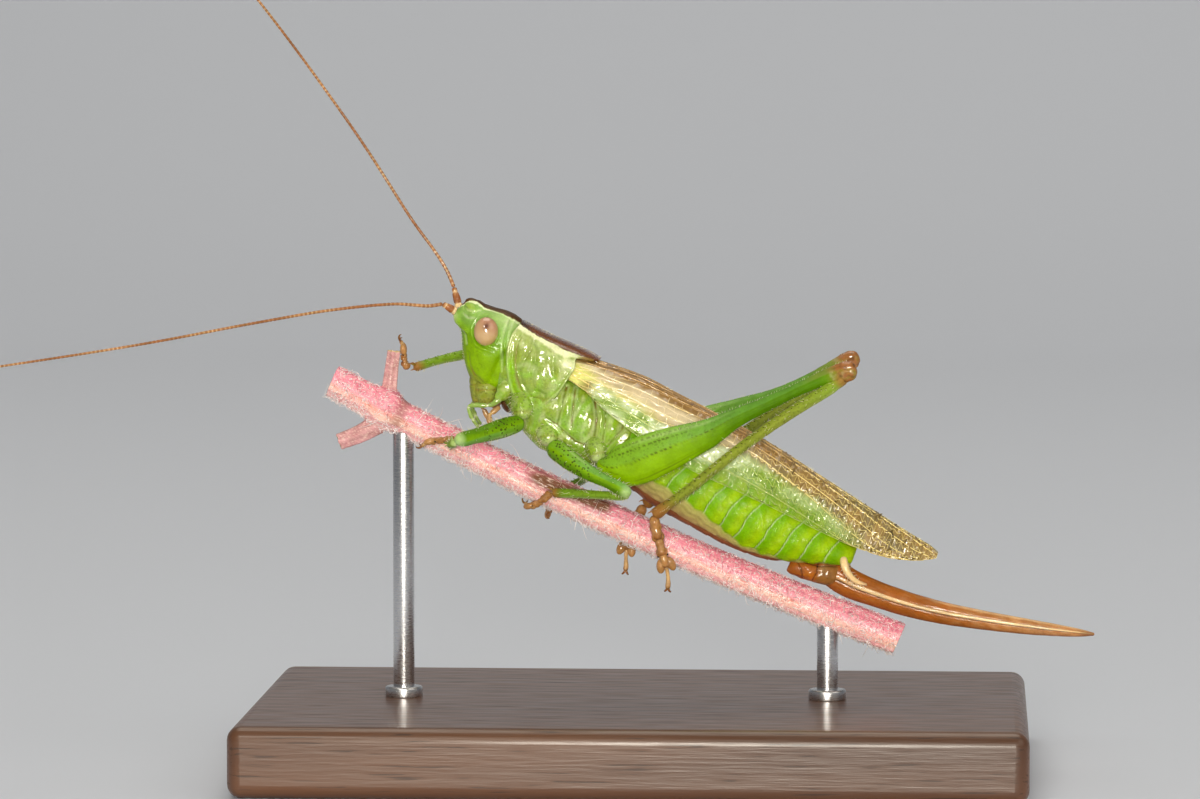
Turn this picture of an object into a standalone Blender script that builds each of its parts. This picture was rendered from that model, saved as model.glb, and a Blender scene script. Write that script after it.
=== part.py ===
"""A female meadow katydid at life size, gripping a cut length of stem on a display stand.

The insect and its perch are laid out along one axis and then tilted together, tail down.
In that frame x runs from head to tail along the perch, y is positive on the insect's right,
z is square to the perch, and the sizes below are in millimetres. The finished model has +Z
up and its origin in the middle of the underside of the stand's base.
"""

import math

import bmesh
import bpy
from mathutils import Matrix, Vector

MM = 0.001
LEFT = -1
RIGHT = 1
SIDES = {"left": LEFT, "right": RIGHT}

# Driving dimensions, in millimetres and degrees.
SLOPE = 24.0             # how steeply the perch runs down towards the tail
PERCH_HEIGHT = 10.1      # from the underside of the base up to the middle of the perch
PERCH_RADIUS = 0.72
PERCH_START = -14.6
PERCH_END = 11.9
PERCH_BOW = 0.0026       # rise of the perch's axis for each square millimetre along it
NODE_AT = -12.1          # where the leaf stalks leave the stem
NODE_RADIUS = 0.98
GAP = 0.06               # clear space kept between one solid and the next
WING_THICKNESS = 0.45
FEELER_RADIUS = 0.25     # feelers are drawn no thinner than this in the solids
FEELER_LENGTH = 44.0
EYE_RADII = (0.52, 0.46, 0.60)
EYE_CENTRE = (-9.44, 1.06, 5.30)
BASE_SIZE = (33.0, 21.0, 3.0)
BASE_EDGE = 0.6
ROD_RADIUS = 0.45
HEAD_SIDES = 18
PERCH_SIDES = 14
LIMB_SIDES = 8
FEMUR_SIDES = 10
ROD_PLACES = {"front": -10.1, "rear": 8.0}

# The body, as stations from head to tail: x, top, height of the widest part, bottom, half width.
PRONOTUM = [
    (-8.75, 6.20, 5.20, 3.30, 1.20),
    (-8.00, 6.24, 5.10, 3.05, 1.36),
    (-7.00, 6.15, 4.90, 2.90, 1.48),
    (-6.00, 6.08, 4.80, 2.88, 1.54),
    (-5.20, 6.06, 4.90, 3.00, 1.54),
    (-4.50, 6.00, 5.10, 3.60, 1.48),
]
THORAX = [
    (-6.30, 5.00, 3.60, 1.95, 1.20),
    (-5.40, 5.02, 3.60, 1.60, 1.30),
    (-4.30, 4.98, 3.50, 1.60, 1.34),
    (-3.20, 4.94, 3.40, 1.80, 1.34),
    (-2.00, 4.88, 3.20, 1.90, 1.34),
]
ABDOMEN = [
    (-2.70, 4.86, 3.10, 1.95, 1.26),
    (-1.50, 4.88, 2.90, 1.62, 1.34),
    (0.00, 4.82, 2.75, 1.26, 1.38),
    (2.00, 4.70, 2.65, 1.08, 1.38),
    (4.00, 4.46, 2.55, 0.99, 1.33),
    (5.50, 4.20, 2.45, 1.17, 1.20),
    (6.50, 3.98, 2.45, 1.50, 1.06),
    (7.50, 3.66, 2.55, 1.88, 0.86),
    (8.20, 3.36, 2.65, 2.20, 0.62),
    (8.55, 3.06, 2.75, 2.46, 0.34),
]
# The head, as level stations from the crown down: height, front, back, half width.
HEAD = [
    (6.22, -10.30, -8.95, 0.34),
    (6.12, -10.70, -8.62, 0.62),
    (5.86, -10.84, -8.58, 0.94),
    (5.52, -10.90, -8.52, 1.12),
    (5.26, -10.98, -8.46, 1.18),
    (5.00, -10.62, -8.40, 1.20),
    (4.60, -10.38, -8.26, 1.22),
    (4.10, -10.12, -8.06, 1.20),
    (3.60, -9.80, -7.90, 1.10),
    (3.26, -9.50, -8.02, 0.94),
]
# Side outlines that trim those bodies where they meet: x, z.
PRONOTUM_OUTLINE = [
    (-8.54, 6.60), (-8.50, 5.68), (-8.36, 5.04), (-8.14, 4.44), (-7.80, 3.86), (-7.40, 3.38),
    (-6.97, 3.08), (-6.50, 2.96), (-6.12, 3.10), (-5.76, 3.66), (-5.50, 4.30), (-5.42, 4.75),
    (-5.44, 5.10), (-5.28, 5.52), (-4.95, 5.84), (-4.62, 6.02), (-4.62, 6.60),
]
THORAX_REAR_OUTLINE = [
    (-2.74, 6.50), (-2.70, 4.90), (-2.18, 3.85), (-2.36, 2.90), (-2.80, 1.20), (-9.00, 0.50),
    (-9.00, 6.50),
]
# One wing: x, top, lower edge, half width across both wings.
FOREWING = [
    (-5.60, 6.00, 4.85, 1.50),
    (-4.60, 6.08, 4.72, 1.56),
    (-2.60, 6.13, 4.10, 1.68),
    (-1.00, 6.02, 3.74, 1.74),
    (1.00, 5.93, 3.52, 1.76),
    (3.00, 5.77, 3.50, 1.70),
    (5.00, 5.49, 3.44, 1.56),
    (7.00, 5.18, 3.34, 1.30),
    (8.60, 4.94, 3.32, 1.04),
    (9.80, 4.74, 3.42, 0.86),
    (10.80, 4.62, 3.68, 0.72),
    (11.55, 4.52, 4.02, 0.60),
    (11.90, 4.40, 4.26, 0.56),
]
HINDWING = [
    (-4.10, 5.42, 0.80),
    (-2.00, 5.44, 0.86),
    (0.00, 5.36, 0.88),
    (2.00, 5.22, 0.86),
    (4.00, 4.98, 0.76),
    (6.00, 4.66, 0.58),
    (8.00, 4.30, 0.36),
    (9.20, 4.06, 0.22),
]
HINDWING_THICKNESS = 0.42

# Limbs, as stations x, y outwards, z, half width, half depth.
HIND_FEMUR = [
    (-2.56, 1.78, 2.12, 0.34, 0.50),
    (-2.10, 1.98, 2.33, 0.44, 0.80),
    (-1.55, 2.14, 2.72, 0.50, 0.95),
    (-0.62, 2.38, 3.67, 0.50, 0.94),
    (0.15, 2.54, 4.44, 0.46, 0.82),
    (0.93, 2.70, 5.22, 0.40, 0.68),
    (1.80, 2.94, 6.30, 0.34, 0.53),
    (2.70, 3.20, 7.34, 0.29, 0.43),
    (3.91, 3.58, 8.82, 0.27, 0.38),
    (4.75, 3.84, 9.80, 0.31, 0.42),
    (5.16, 3.96, 10.22, 0.33, 0.44),
    (5.42, 4.03, 10.46, 0.24, 0.30),
]
HIND_TIBIA = {
    "left": [
        (5.16, 4.00, 9.72, 0.26, 0.26),
        (4.08, 3.64, 8.08, 0.25, 0.25),
        (2.97, 3.10, 6.30, 0.25, 0.25),
        (1.97, 2.50, 4.40, 0.25, 0.25),
        (1.20, 1.94, 2.80, 0.25, 0.25),
        (0.26, 1.18, 1.08, 0.25, 0.25),
    ],
    "right": [
        (5.16, 4.00, 9.72, 0.26, 0.26),
        (4.00, 3.64, 8.02, 0.25, 0.25),
        (2.75, 3.10, 6.20, 0.25, 0.25),
        (1.60, 2.50, 4.30, 0.25, 0.25),
        (0.75, 1.94, 2.70, 0.25, 0.25),
        (-0.32, 1.18, 1.06, 0.25, 0.25),
    ],
}
HIND_TARSUS = {
    "left": [
        (0.36, 1.10, 0.80, 0.26, 0.25),
        (0.66, 1.16, 0.44, 0.30, 0.25),
        (0.98, 1.12, 0.04, 0.26, 0.24),
        (1.22, 1.12, -0.28, 0.27, 0.24),
        (1.52, 1.06, -0.62, 0.40, 0.25),
        (1.82, 0.96, -1.04, 0.30, 0.25),
        (1.98, 0.90, -1.36, 0.20, 0.20),
        (2.10, 0.84, -1.68, 0.24, 0.22),
        (2.16, 0.74, -1.96, 0.16, 0.14),
    ],
    "right": [
        (-0.34, 1.16, 0.76, 0.26, 0.25),
        (-0.34, 1.20, 0.34, 0.30, 0.25),
        (-0.32, 1.18, -0.14, 0.26, 0.24),
        (-0.30, 1.16, -0.50, 0.27, 0.24),
        (-0.26, 1.08, -0.94, 0.40, 0.25),
        (-0.10, 0.96, -1.36, 0.30, 0.25),
        (0.04, 0.88, -1.66, 0.20, 0.20),
        (0.14, 0.82, -1.92, 0.24, 0.22),
        (0.20, 0.72, -2.18, 0.16, 0.14),
    ],
}
MID_FEMUR = {
    "left": [
        (-5.02, 1.34, 1.92, 0.32, 0.36),
        (-4.60, 1.56, 1.92, 0.38, 0.44),
        (-3.80, 1.92, 1.77, 0.38, 0.42),
        (-2.90, 2.28, 1.68, 0.32, 0.34),
        (-2.00, 2.64, 1.68, 0.27, 0.28),
        (-1.22, 2.88, 1.68, 0.26, 0.27),
        (-0.98, 2.94, 1.66, 0.20, 0.20),
    ],
    "right": [
        (-5.02, 1.34, 1.92, 0.32, 0.36),
        (-4.90, 1.74, 1.84, 0.38, 0.44),
        (-4.55, 2.40, 1.66, 0.38, 0.42),
        (-4.05, 3.15, 1.46, 0.32, 0.34),
        (-3.50, 3.90, 1.28, 0.27, 0.28),
        (-3.10, 4.45, 1.18, 0.26, 0.27),
        (-2.98, 4.62, 1.15, 0.20, 0.20),
    ],
}
MID_TIBIA = {
    "left": [
        (-1.10, 2.84, 1.50, 0.24, 0.24),
        (-1.90, 2.34, 1.12, 0.25, 0.25),
        (-3.10, 1.62, 0.58, 0.25, 0.25),
        (-4.02, 1.12, 0.16, 0.25, 0.25),
    ],
    "right": [
        (-3.02, 4.42, 0.86, 0.24, 0.24),
        (-3.20, 3.60, 0.66, 0.25, 0.25),
        (-3.52, 2.30, 0.36, 0.25, 0.25),
        (-3.80, 1.26, 0.10, 0.25, 0.25),
    ],
}
FORE_FEMUR = {
    "left": [
        (-6.42, 1.28, 2.40, 0.32, 0.34),
        (-6.80, 1.70, 2.10, 0.38, 0.40),
        (-7.36, 2.46, 1.66, 0.38, 0.40),
        (-7.96, 3.30, 1.22, 0.30, 0.32),
        (-8.44, 4.00, 0.92, 0.26, 0.27),
        (-8.56, 4.18, 0.86, 0.20, 0.20),
    ],
    "right": [
        (-6.42, 1.28, 2.42, 0.32, 0.34),
        (-6.88, 1.66, 2.62, 0.38, 0.40),
        (-7.52, 2.04, 3.10, 0.38, 0.40),
        (-8.26, 2.46, 3.72, 0.30, 0.32),
        (-8.96, 2.82, 4.32, 0.26, 0.27),
        (-9.12, 2.90, 4.46, 0.20, 0.20),
    ],
}
FORE_TIBIA = {
    "left": [
        (-8.66, 4.02, 0.60, 0.24, 0.24),
        (-8.74, 3.10, 0.50, 0.25, 0.25),
        (-8.78, 2.10, 0.40, 0.25, 0.25),
        (-8.72, 1.34, 0.34, 0.25, 0.25),
    ],
    "right": [
        (-9.24, 2.84, 4.16, 0.24, 0.24),
        (-10.10, 2.04, 3.60, 0.25, 0.25),
        (-11.00, 1.28, 2.96, 0.25, 0.25),
        (-11.68, 0.78, 2.40, 0.25, 0.25),
    ],
}
COXAE = {
    "fore": [(-6.20, 0.55, 2.95, 0.36, 0.40), (-6.34, 0.98, 2.66, 0.36, 0.40),
             (-6.44, 1.34, 2.40, 0.30, 0.32)],
    "mid": [(-5.12, 0.60, 2.34, 0.40, 0.46), (-5.14, 1.00, 2.08, 0.38, 0.42),
            (-5.02, 1.36, 1.92, 0.30, 0.34)],
    "hind": [(-3.10, 0.80, 2.66, 0.46, 0.56), (-2.92, 1.30, 2.34, 0.42, 0.50),
             (-2.60, 1.76, 2.12, 0.32, 0.44)],
}
# Feet that lie round the perch: distance along it, and degrees round it, from level upwards.
GRIPS = {
    ("fore", "left"): [(-8.92, 12), (-9.16, 4), (-9.42, -6), (-9.62, -14), (-9.86, -30),
                       (-10.02, -52)],
    ("mid", "left"): [(-4.24, -6), (-4.34, -26), (-4.50, -46), (-4.64, -62), (-4.86, -84),
                      (-5.06, -104)],
    ("mid", "right"): [(-3.98, -2), (-3.98, -22), (-3.96, -44), (-3.92, -62), (-3.90, -84),
                       (-3.90, -104)],
}
FOOT_SIZES = [(0.25, 0.25), (0.29, 0.25), (0.27, 0.24), (0.38, 0.25), (0.24, 0.22), (0.15, 0.14)]
# The fifth foot stands on the upright leaf stalk.
STALK_FOOT = [
    (-11.98, 0.66, 2.26, 0.25, 0.25),
    (-12.14, 0.64, 2.42, 0.29, 0.25),
    (-12.28, 0.60, 2.68, 0.27, 0.24),
    (-12.44, 0.58, 2.94, 0.34, 0.25),
    (-12.60, 0.46, 3.18, 0.22, 0.20),
    (-12.76, 0.34, 3.32, 0.14, 0.13),
]
UPPER_STALK = [
    (-12.00, 0.00, 0.40, 0.34, 0.34),
    (-12.30, 0.00, 1.40, 0.29, 0.29),
    (-12.52, 0.00, 2.10, 0.27, 0.27),
    (-12.72, 0.00, 2.78, 0.27, 0.27),
]
LOWER_STALK = [
    (-12.05, 0.00, -0.30, 0.42, 0.42),
    (-12.60, 0.00, -1.05, 0.36, 0.36),
    (-13.30, 0.00, -1.75, 0.33, 0.33),
]
# Feelers: x, y outwards, z. The right one rises forwards, the left one reaches out level.
FEELER_BASE = {
    "left": [(-11.14, 0.36, 5.44), (-11.58, 0.46, 5.50)],
    "right": [(-11.10, 0.36, 5.76), (-11.52, 0.42, 6.28)],
}
FEELER_ROUTE = {
    "left": [(-11.78, 0.52, 5.36), (-13.30, 1.10, 4.78), (-15.50, 1.90, 3.60), (-18.30, 3.00, 1.80),
             (-21.60, 4.60, -0.42), (-28.00, 8.20, -4.40), (-36.00, 13.40, -9.20),
             (-46.50, 21.00, -14.60)],
    "right": [(-11.70, 0.44, 6.46), (-14.50, 0.60, 8.26), (-17.56, 0.86, 10.24),
              (-20.25, 1.10, 11.82), (-24.37, 1.60, 14.04), (-32.00, 2.60, 17.40),
              (-41.00, 4.20, 20.60), (-52.00, 6.60, 23.40)],
}
PALPS = {
    "maxillary": [(-7.84, 0.74, 2.44), (-8.02, 0.78, 2.30), (-8.44, 0.80, 2.08), (-8.86, 0.76, 1.92),
                  (-8.72, 0.70, 1.60), (-8.42, 0.62, 1.28)],
    "labial": [(-7.90, 0.34, 2.30), (-8.02, 0.42, 2.00), (-8.04, 0.44, 1.66), (-7.86, 0.42, 1.40)],
}
OVIPOSITOR = [
    (7.78, 0.0, 1.46, 0.28, 0.36),
    (8.40, 0.0, 1.56, 0.34, 0.52),
    (9.10, 0.0, 1.68, 0.36, 0.62),
    (10.20, 0.0, 1.75, 0.34, 0.56),
    (11.50, 0.0, 1.88, 0.31, 0.53),
    (13.00, 0.0, 2.14, 0.28, 0.48),
    (14.60, 0.0, 2.54, 0.26, 0.42),
    (16.30, 0.0, 3.02, 0.25, 0.36),
    (17.80, 0.0, 3.48, 0.25, 0.28),
    (18.90, 0.0, 3.84, 0.22, 0.18),
    (19.40, 0.0, 4.01, 0.14, 0.08),
]
CERCUS = [
    (8.42, 0.76, 2.72, 0.22, 0.22),
    (8.80, 0.78, 2.52, 0.24, 0.24),
    (9.25, 0.78, 2.32, 0.20, 0.20),
    (9.62, 0.70, 2.24, 0.15, 0.15),
    (9.82, 0.62, 2.26, 0.09, 0.09),
]

COLOURS = {
    "green_cuticle": ((0.27, 0.47, 0.03), 0.35),
    "pale_cuticle": ((0.36, 0.52, 0.10), 0.30),
    "eye": ((0.58, 0.36, 0.22), 0.25),
    "brown_cuticle": ((0.34, 0.14, 0.04), 0.40),
    "wing": ((0.50, 0.38, 0.20), 0.35),
    "stem": ((0.62, 0.28, 0.27), 0.60),
    "base_wood": ((0.09, 0.04, 0.02), 0.35),
    "steel": ((0.60, 0.60, 0.62), 0.25),
}


def clear_scene():
    for old in list(bpy.data.objects):
        bpy.data.objects.remove(old, do_unlink=True)


def make_collection(name):
    group = bpy.data.collections.new(name)
    bpy.context.scene.collection.children.link(group)
    return group


def make_material(name, finish):
    colour, roughness = COLOURS[finish]
    material = bpy.data.materials.new(name)
    material.use_nodes = True
    shader = material.node_tree.nodes["Principled BSDF"]
    shader.inputs["Base Color"].default_value = (*colour, 1.0)
    shader.inputs["Roughness"].default_value = roughness
    shader.inputs["Metallic"].default_value = 1.0 if finish == "steel" else 0.0
    return material


clear_scene()
MODEL = make_collection("meadow_katydid")
CUTTERS = make_collection("cutters")
AXIS = bpy.data.objects.new("perch_axis", None)
AXIS.location = (0.0, 0.0, PERCH_HEIGHT * MM)
AXIS.rotation_euler = (0.0, math.radians(SLOPE), 0.0)
MODEL.objects.link(AXIS)


def flow(stations, steps):
    """Even, smooth stations through the given ones: `steps` from each one to the next."""
    rows = [Vector(row) for row in stations]
    spans = [max((b - a).length, 1e-6) for a, b in zip(rows, rows[1:])]
    slopes = []
    for index in range(len(rows)):
        before = max(index - 1, 0)
        after = min(index, len(spans) - 1)
        ahead = (rows[after + 1] - rows[after]) / spans[after]
        behind = (rows[before + 1] - rows[before]) / spans[before]
        share = spans[before] / (spans[before] + spans[after])
        slopes.append(behind.lerp(ahead, share))
    fine = []
    for index, span in enumerate(spans):
        for step in range(steps):
            t = step / steps
            fine.append(
                rows[index] * (2 * t**3 - 3 * t**2 + 1)
                + slopes[index] * span * (t**3 - 2 * t**2 + t)
                + rows[index + 1] * (3 * t**2 - 2 * t**3)
                + slopes[index + 1] * span * (t**3 - t**2)
            )
    return fine + [rows[-1]]


def loft(rings):
    """A closed body through rings of equal point counts, given in millimetres."""
    mesh = bmesh.new()
    loops = [[mesh.verts.new(point * MM) for point in ring] for ring in rings]
    for lower, upper in zip(loops, loops[1:]):
        for index in range(len(lower)):
            following = (index + 1) % len(lower)
            mesh.faces.new((lower[index], lower[following], upper[following], upper[index]))
    mesh.faces.new(loops[0][::-1])
    mesh.faces.new(loops[-1])
    bmesh.ops.recalc_face_normals(mesh, faces=mesh.faces)
    return mesh


def superellipse(angle, power):
    """A point on a unit superellipse: 2 is round, and more is boxier."""
    across, upward = math.cos(angle), math.sin(angle)
    return (math.copysign(abs(across) ** (2 / power), across),
            math.copysign(abs(upward) ** (2 / power), upward))


def limb_rings(stations, side, steps, sides, grow=0.0):
    """Oval rings square to a limb's run; their depth stays in the upright plane."""
    rows = flow(stations, steps)
    centres = [Vector((row[0], side * row[1], row[2])) for row in rows]
    rings = []
    for index, (row, centre) in enumerate(zip(rows, centres)):
        run = centres[min(index + 1, len(rows) - 1)] - centres[max(index - 1, 0)]
        width_way = Vector((run.z, 0.0, -run.x)).cross(run).normalized()
        depth_way = run.cross(width_way).normalized()
        ring = []
        for corner in range(sides):
            angle = 2 * math.pi * corner / sides
            ring.append(centre + width_way * (row[3] + grow) * math.cos(angle)
                        + depth_way * (row[4] + grow) * math.sin(angle))
        rings.append(ring)
    return rings


def body_rings(stations, steps, sides, top_power, bottom_power, grow=0.0):
    """Upright rings: x, top, height of the widest part, bottom, half width."""
    rings = []
    for x, top, widest, bottom, half in flow(stations, steps):
        ring = []
        for corner in range(sides):
            angle = 2 * math.pi * corner / sides
            upper = math.sin(angle) >= 0
            across, upward = superellipse(angle, top_power if upper else bottom_power)
            reach = (top - widest if upper else widest - bottom) + grow
            ring.append(Vector((x, (half + grow) * across, widest + reach * upward)))
        rings.append(ring)
    return rings


def add_object(name, mesh, group):
    data = bpy.data.meshes.new(name)
    mesh.to_mesh(data)
    mesh.free()
    data.shade_smooth()
    data.set_sharp_from_angle(angle=math.radians(40))
    piece = bpy.data.objects.new(name, data)
    group.objects.link(piece)
    return piece


def add_part(name, mesh, finish):
    """A visible piece, laid out along the perch's axis."""
    piece = add_object(name, mesh, MODEL)
    piece.parent = AXIS
    piece.data.materials.append(make_material(name, finish))
    return piece


def add_cutter(name, mesh):
    piece = add_object(name, mesh, CUTTERS)
    piece.parent = AXIS
    piece.hide_render = True
    piece.display_type = "WIRE"
    return piece


def boolean(piece, cutter, operation):
    step = piece.modifiers.new(f"{operation.lower()}_{cutter.name}", "BOOLEAN")
    step.operation = operation
    step.solver = "EXACT"
    step.object = cutter


def side_prism(name, outline, shift=(0.0, 0.0), reach=4.0):
    """A cutter with the given side outline, right across the body."""
    mesh = bmesh.new()
    corners = [mesh.verts.new(((x + shift[0]) * MM, -reach * MM, (z + shift[1]) * MM))
               for x, z in outline]
    face = mesh.faces.new(corners)
    swept = bmesh.ops.extrude_face_region(mesh, geom=[face])
    moved = [item for item in swept["geom"] if isinstance(item, bmesh.types.BMVert)]
    bmesh.ops.translate(mesh, verts=moved, vec=(0.0, 2 * reach * MM, 0.0))
    bmesh.ops.recalc_face_normals(mesh, faces=mesh.faces)
    return add_cutter(name, mesh)


def perch_axis_height(x):
    return PERCH_BOW * x * x


def grip_stations(places, sizes):
    """Stations of a foot that lies round the perch, just clear of its bark."""
    rows = []
    for (along, degrees), (half_width, half_depth) in zip(places, sizes):
        angle = math.radians(degrees)
        stand_off = PERCH_RADIUS + GAP + 0.04 + half_depth
        rows.append((along, stand_off * math.cos(angle),
                     perch_axis_height(along) + stand_off * math.sin(angle),
                     half_width, half_depth))
    return rows


def build_body():
    rings = body_rings(PRONOTUM, 2, 20, 3.0, 2.6)
    pronotum = add_part("pronotum", loft(rings), "pale_cuticle")
    boolean(pronotum, side_prism("pronotum_outline", PRONOTUM_OUTLINE), "INTERSECT")

    thorax = add_part("thorax", loft(body_rings(THORAX, 2, 16, 2.2, 2.2)), "pale_cuticle")
    boolean(thorax, side_prism("thorax_outline", THORAX_REAR_OUTLINE, (-GAP, 0.0)), "INTERSECT")
    boolean(thorax, side_prism("pronotum_clearance", PRONOTUM_OUTLINE, (GAP, -GAP)), "DIFFERENCE")

    abdomen = add_part("abdomen", loft(body_rings(ABDOMEN, 1, 18, 1.9, 2.0)), "green_cuticle")
    boolean(abdomen, side_prism("abdomen_clearance", THORAX_REAR_OUTLINE), "DIFFERENCE")
    return pronotum, thorax


def build_head():
    rings = []
    for height, front, back, half in flow(HEAD, 1):
        middle = (front + back) / 2
        ring = []
        for corner in range(HEAD_SIDES):
            along, across = superellipse(2 * math.pi * corner / HEAD_SIDES, 2.3)
            ring.append(Vector((middle + (back - front) / 2 * along, half * across, height)))
        rings.append(ring)
    head = add_part("head", loft(rings), "green_cuticle")
    for name, side in SIDES.items():
        build_eye(f"eye_{name}", side, 0.0)
        boolean(head, build_eye(f"socket_{name}", side, GAP), "DIFFERENCE")


def build_eye(name, side, grow):
    mesh = bmesh.new()
    bmesh.ops.create_uvsphere(mesh, u_segments=12, v_segments=8, radius=MM)
    radii = [radius + grow for radius in EYE_RADII]
    centre = Vector((EYE_CENTRE[0], side * EYE_CENTRE[1], EYE_CENTRE[2])) * MM
    bmesh.ops.transform(mesh, matrix=Matrix.Translation(centre) @ Matrix.Diagonal((*radii, 1.0)),
                        verts=mesh.verts)
    return add_cutter(name, mesh) if grow else add_part(name, mesh, "eye")


def lobe(centre, radii, lean, side=RIGHT):
    """An egg-shaped piece, leaned in the side view by `lean` degrees."""
    mesh = bmesh.new()
    bmesh.ops.create_uvsphere(mesh, u_segments=8, v_segments=6, radius=MM)
    place = Matrix.Translation(Vector((centre[0], side * centre[1], centre[2])) * MM)
    turn = Matrix.Rotation(math.radians(lean), 4, "Y")
    bmesh.ops.transform(mesh, matrix=place @ turn @ Matrix.Diagonal((*radii, 1.0)),
                        verts=mesh.verts)
    return mesh


def build_mouth():
    lip = [(-9.16, 0.0, 3.14, 0.66, 0.20), (-9.02, 0.0, 2.80, 0.58, 0.22),
           (-8.90, 0.0, 2.46, 0.44, 0.20), (-8.78, 0.0, 2.22, 0.26, 0.14)]
    add_part("labrum", loft(limb_rings(lip, RIGHT, 1, FEMUR_SIDES)), "green_cuticle")
    for name, side in SIDES.items():
        add_part(f"mandible_{name}", lobe((-8.48, 0.34, 2.82), (0.20, 0.24, 0.34), 20, side),
                 "green_cuticle")
        add_part(f"maxilla_{name}", lobe((-7.80, 0.66, 3.12), (0.30, 0.30, 0.50), 14, side),
                 "green_cuticle")
        palp = [(*place, 0.2, 0.2) for place in PALPS["maxillary"]]
        add_part(f"maxillary_palp_{name}", loft(limb_rings(palp, side, 1, LIMB_SIDES)),
                 "green_cuticle")
    labium = add_part("labium", lobe((-7.92, 0.0, 2.46), (0.22, 0.30, 0.34), 14), "brown_cuticle")
    for name, side in SIDES.items():
        palp = [(*place, 0.17, 0.17) for place in [(-7.92, 0.12, 2.44)] + PALPS["labial"]]
        boolean(labium, add_cutter(f"labial_palp_{name}", loft(limb_rings(palp, side, 1, 6))),
                "UNION")


def build_feelers():
    for name, side in SIDES.items():
        base = [(*place, 0.27, 0.27) for place in FEELER_BASE[name]]
        add_part(f"antenna_{name}_base", loft(limb_rings(base, side, 1, LIMB_SIDES)), "brown_cuticle")
        route = [Vector((x, side * y, z)) for x, y, z in FEELER_ROUTE[name]]
        points = flow(route, 4)
        reach = [0.0]
        for before, after in zip(points, points[1:]):
            reach.append(reach[-1] + (after - before).length)
        inner = [point for point, far in zip(points, reach) if far < FEELER_LENGTH / 2]
        outer = [point for point, far in zip(points, reach)
                 if FEELER_LENGTH / 2 <= far < FEELER_LENGTH]
        joint = inner[-1] + (outer[0] - inner[-1]).normalized() * GAP
        build_wire(f"antenna_{name}_inner", inner, FEELER_RADIUS)
        build_wire(f"antenna_{name}_outer", [joint] + outer, FEELER_RADIUS)


def build_wire(name, points, radius):
    """A plain round wire through the points, as a mesh with welded caps."""
    curve = bpy.data.curves.new(name, "CURVE")
    curve.dimensions = "3D"
    curve.bevel_depth = radius * MM
    curve.bevel_resolution = 1
    curve.use_fill_caps = True
    spline = curve.splines.new("POLY")
    spline.points.add(len(points) - 1)
    for knot, point in zip(spline.points, points):
        knot.co = (*(point * MM), 1.0)
    wire = bpy.data.objects.new(name, curve)
    MODEL.objects.link(wire)
    evaluated = wire.evaluated_get(bpy.context.evaluated_depsgraph_get())
    mesh = bmesh.new()
    mesh.from_mesh(bpy.data.meshes.new_from_object(evaluated))
    bmesh.ops.remove_doubles(mesh, verts=mesh.verts, dist=1e-7)
    bpy.data.objects.remove(wire, do_unlink=True)
    add_part(name, mesh, "brown_cuticle")


def build_tail():
    plate = body_rings([(6.10, 1.26, 1.20, 1.12, 0.30), (6.50, 1.40, 1.26, 1.06, 0.48),
                        (7.00, 1.60, 1.36, 1.05, 0.50), (7.40, 1.74, 1.46, 1.10, 0.42),
                        (7.68, 1.76, 1.56, 1.30, 0.26)], 2, 14, 2.2, 2.2)
    add_part("subgenital_plate", loft(plate), "brown_cuticle")
    add_part("ovipositor", loft(limb_rings(OVIPOSITOR, RIGHT, 1, FEMUR_SIDES)), "brown_cuticle")
    for name, side in SIDES.items():
        add_part(f"cercus_{name}", loft(limb_rings(CERCUS, side, 1, LIMB_SIDES)), "brown_cuticle")


def forewing_rings(side):
    """Roof-shaped rings: out over the back and down the flank, and back inside."""
    arc_points = 7
    rings = []
    for x, top, lower, half in flow(FOREWING, 1):
        inner_half = max(half - WING_THICKNESS, GAP + 0.04)
        inner_top = max(top - WING_THICKNESS, lower + 0.04)
        ring = []
        for reach, ceiling, order in ((half, top, range(arc_points)),
                                      (inner_half, inner_top, reversed(range(arc_points)))):
            for place in order:
                down, across = superellipse(math.pi / 2 * place / (arc_points - 1), 3.0)
                ring.append(Vector((x, side * (GAP / 2 + (reach - GAP / 2) * max(across, 0.0)),
                                    lower + (ceiling - lower) * max(down, 0.0))))
        rings.append(ring)
    return rings


def build_wings():
    trim = side_prism("wing_root_clearance", PRONOTUM_OUTLINE, (GAP, 0.0))
    for name, side in SIDES.items():
        forewing = add_part(f"forewing_{name}", loft(forewing_rings(side)), "wing")
        boolean(forewing, trim, "DIFFERENCE")
        rings = []
        for x, top, half in flow(HINDWING, 1):
            middle = (GAP + half) / 2
            ring = []
            for corner in range(12):
                across, upward = superellipse(2 * math.pi * corner / 12, 3.0)
                ring.append(Vector((x, side * (middle + (half - GAP) / 2 * across),
                                    top - HINDWING_THICKNESS / 2 * (1 - upward))))
            rings.append(ring)
        add_part(f"hindwing_{name}", loft(rings), "wing")


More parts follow.
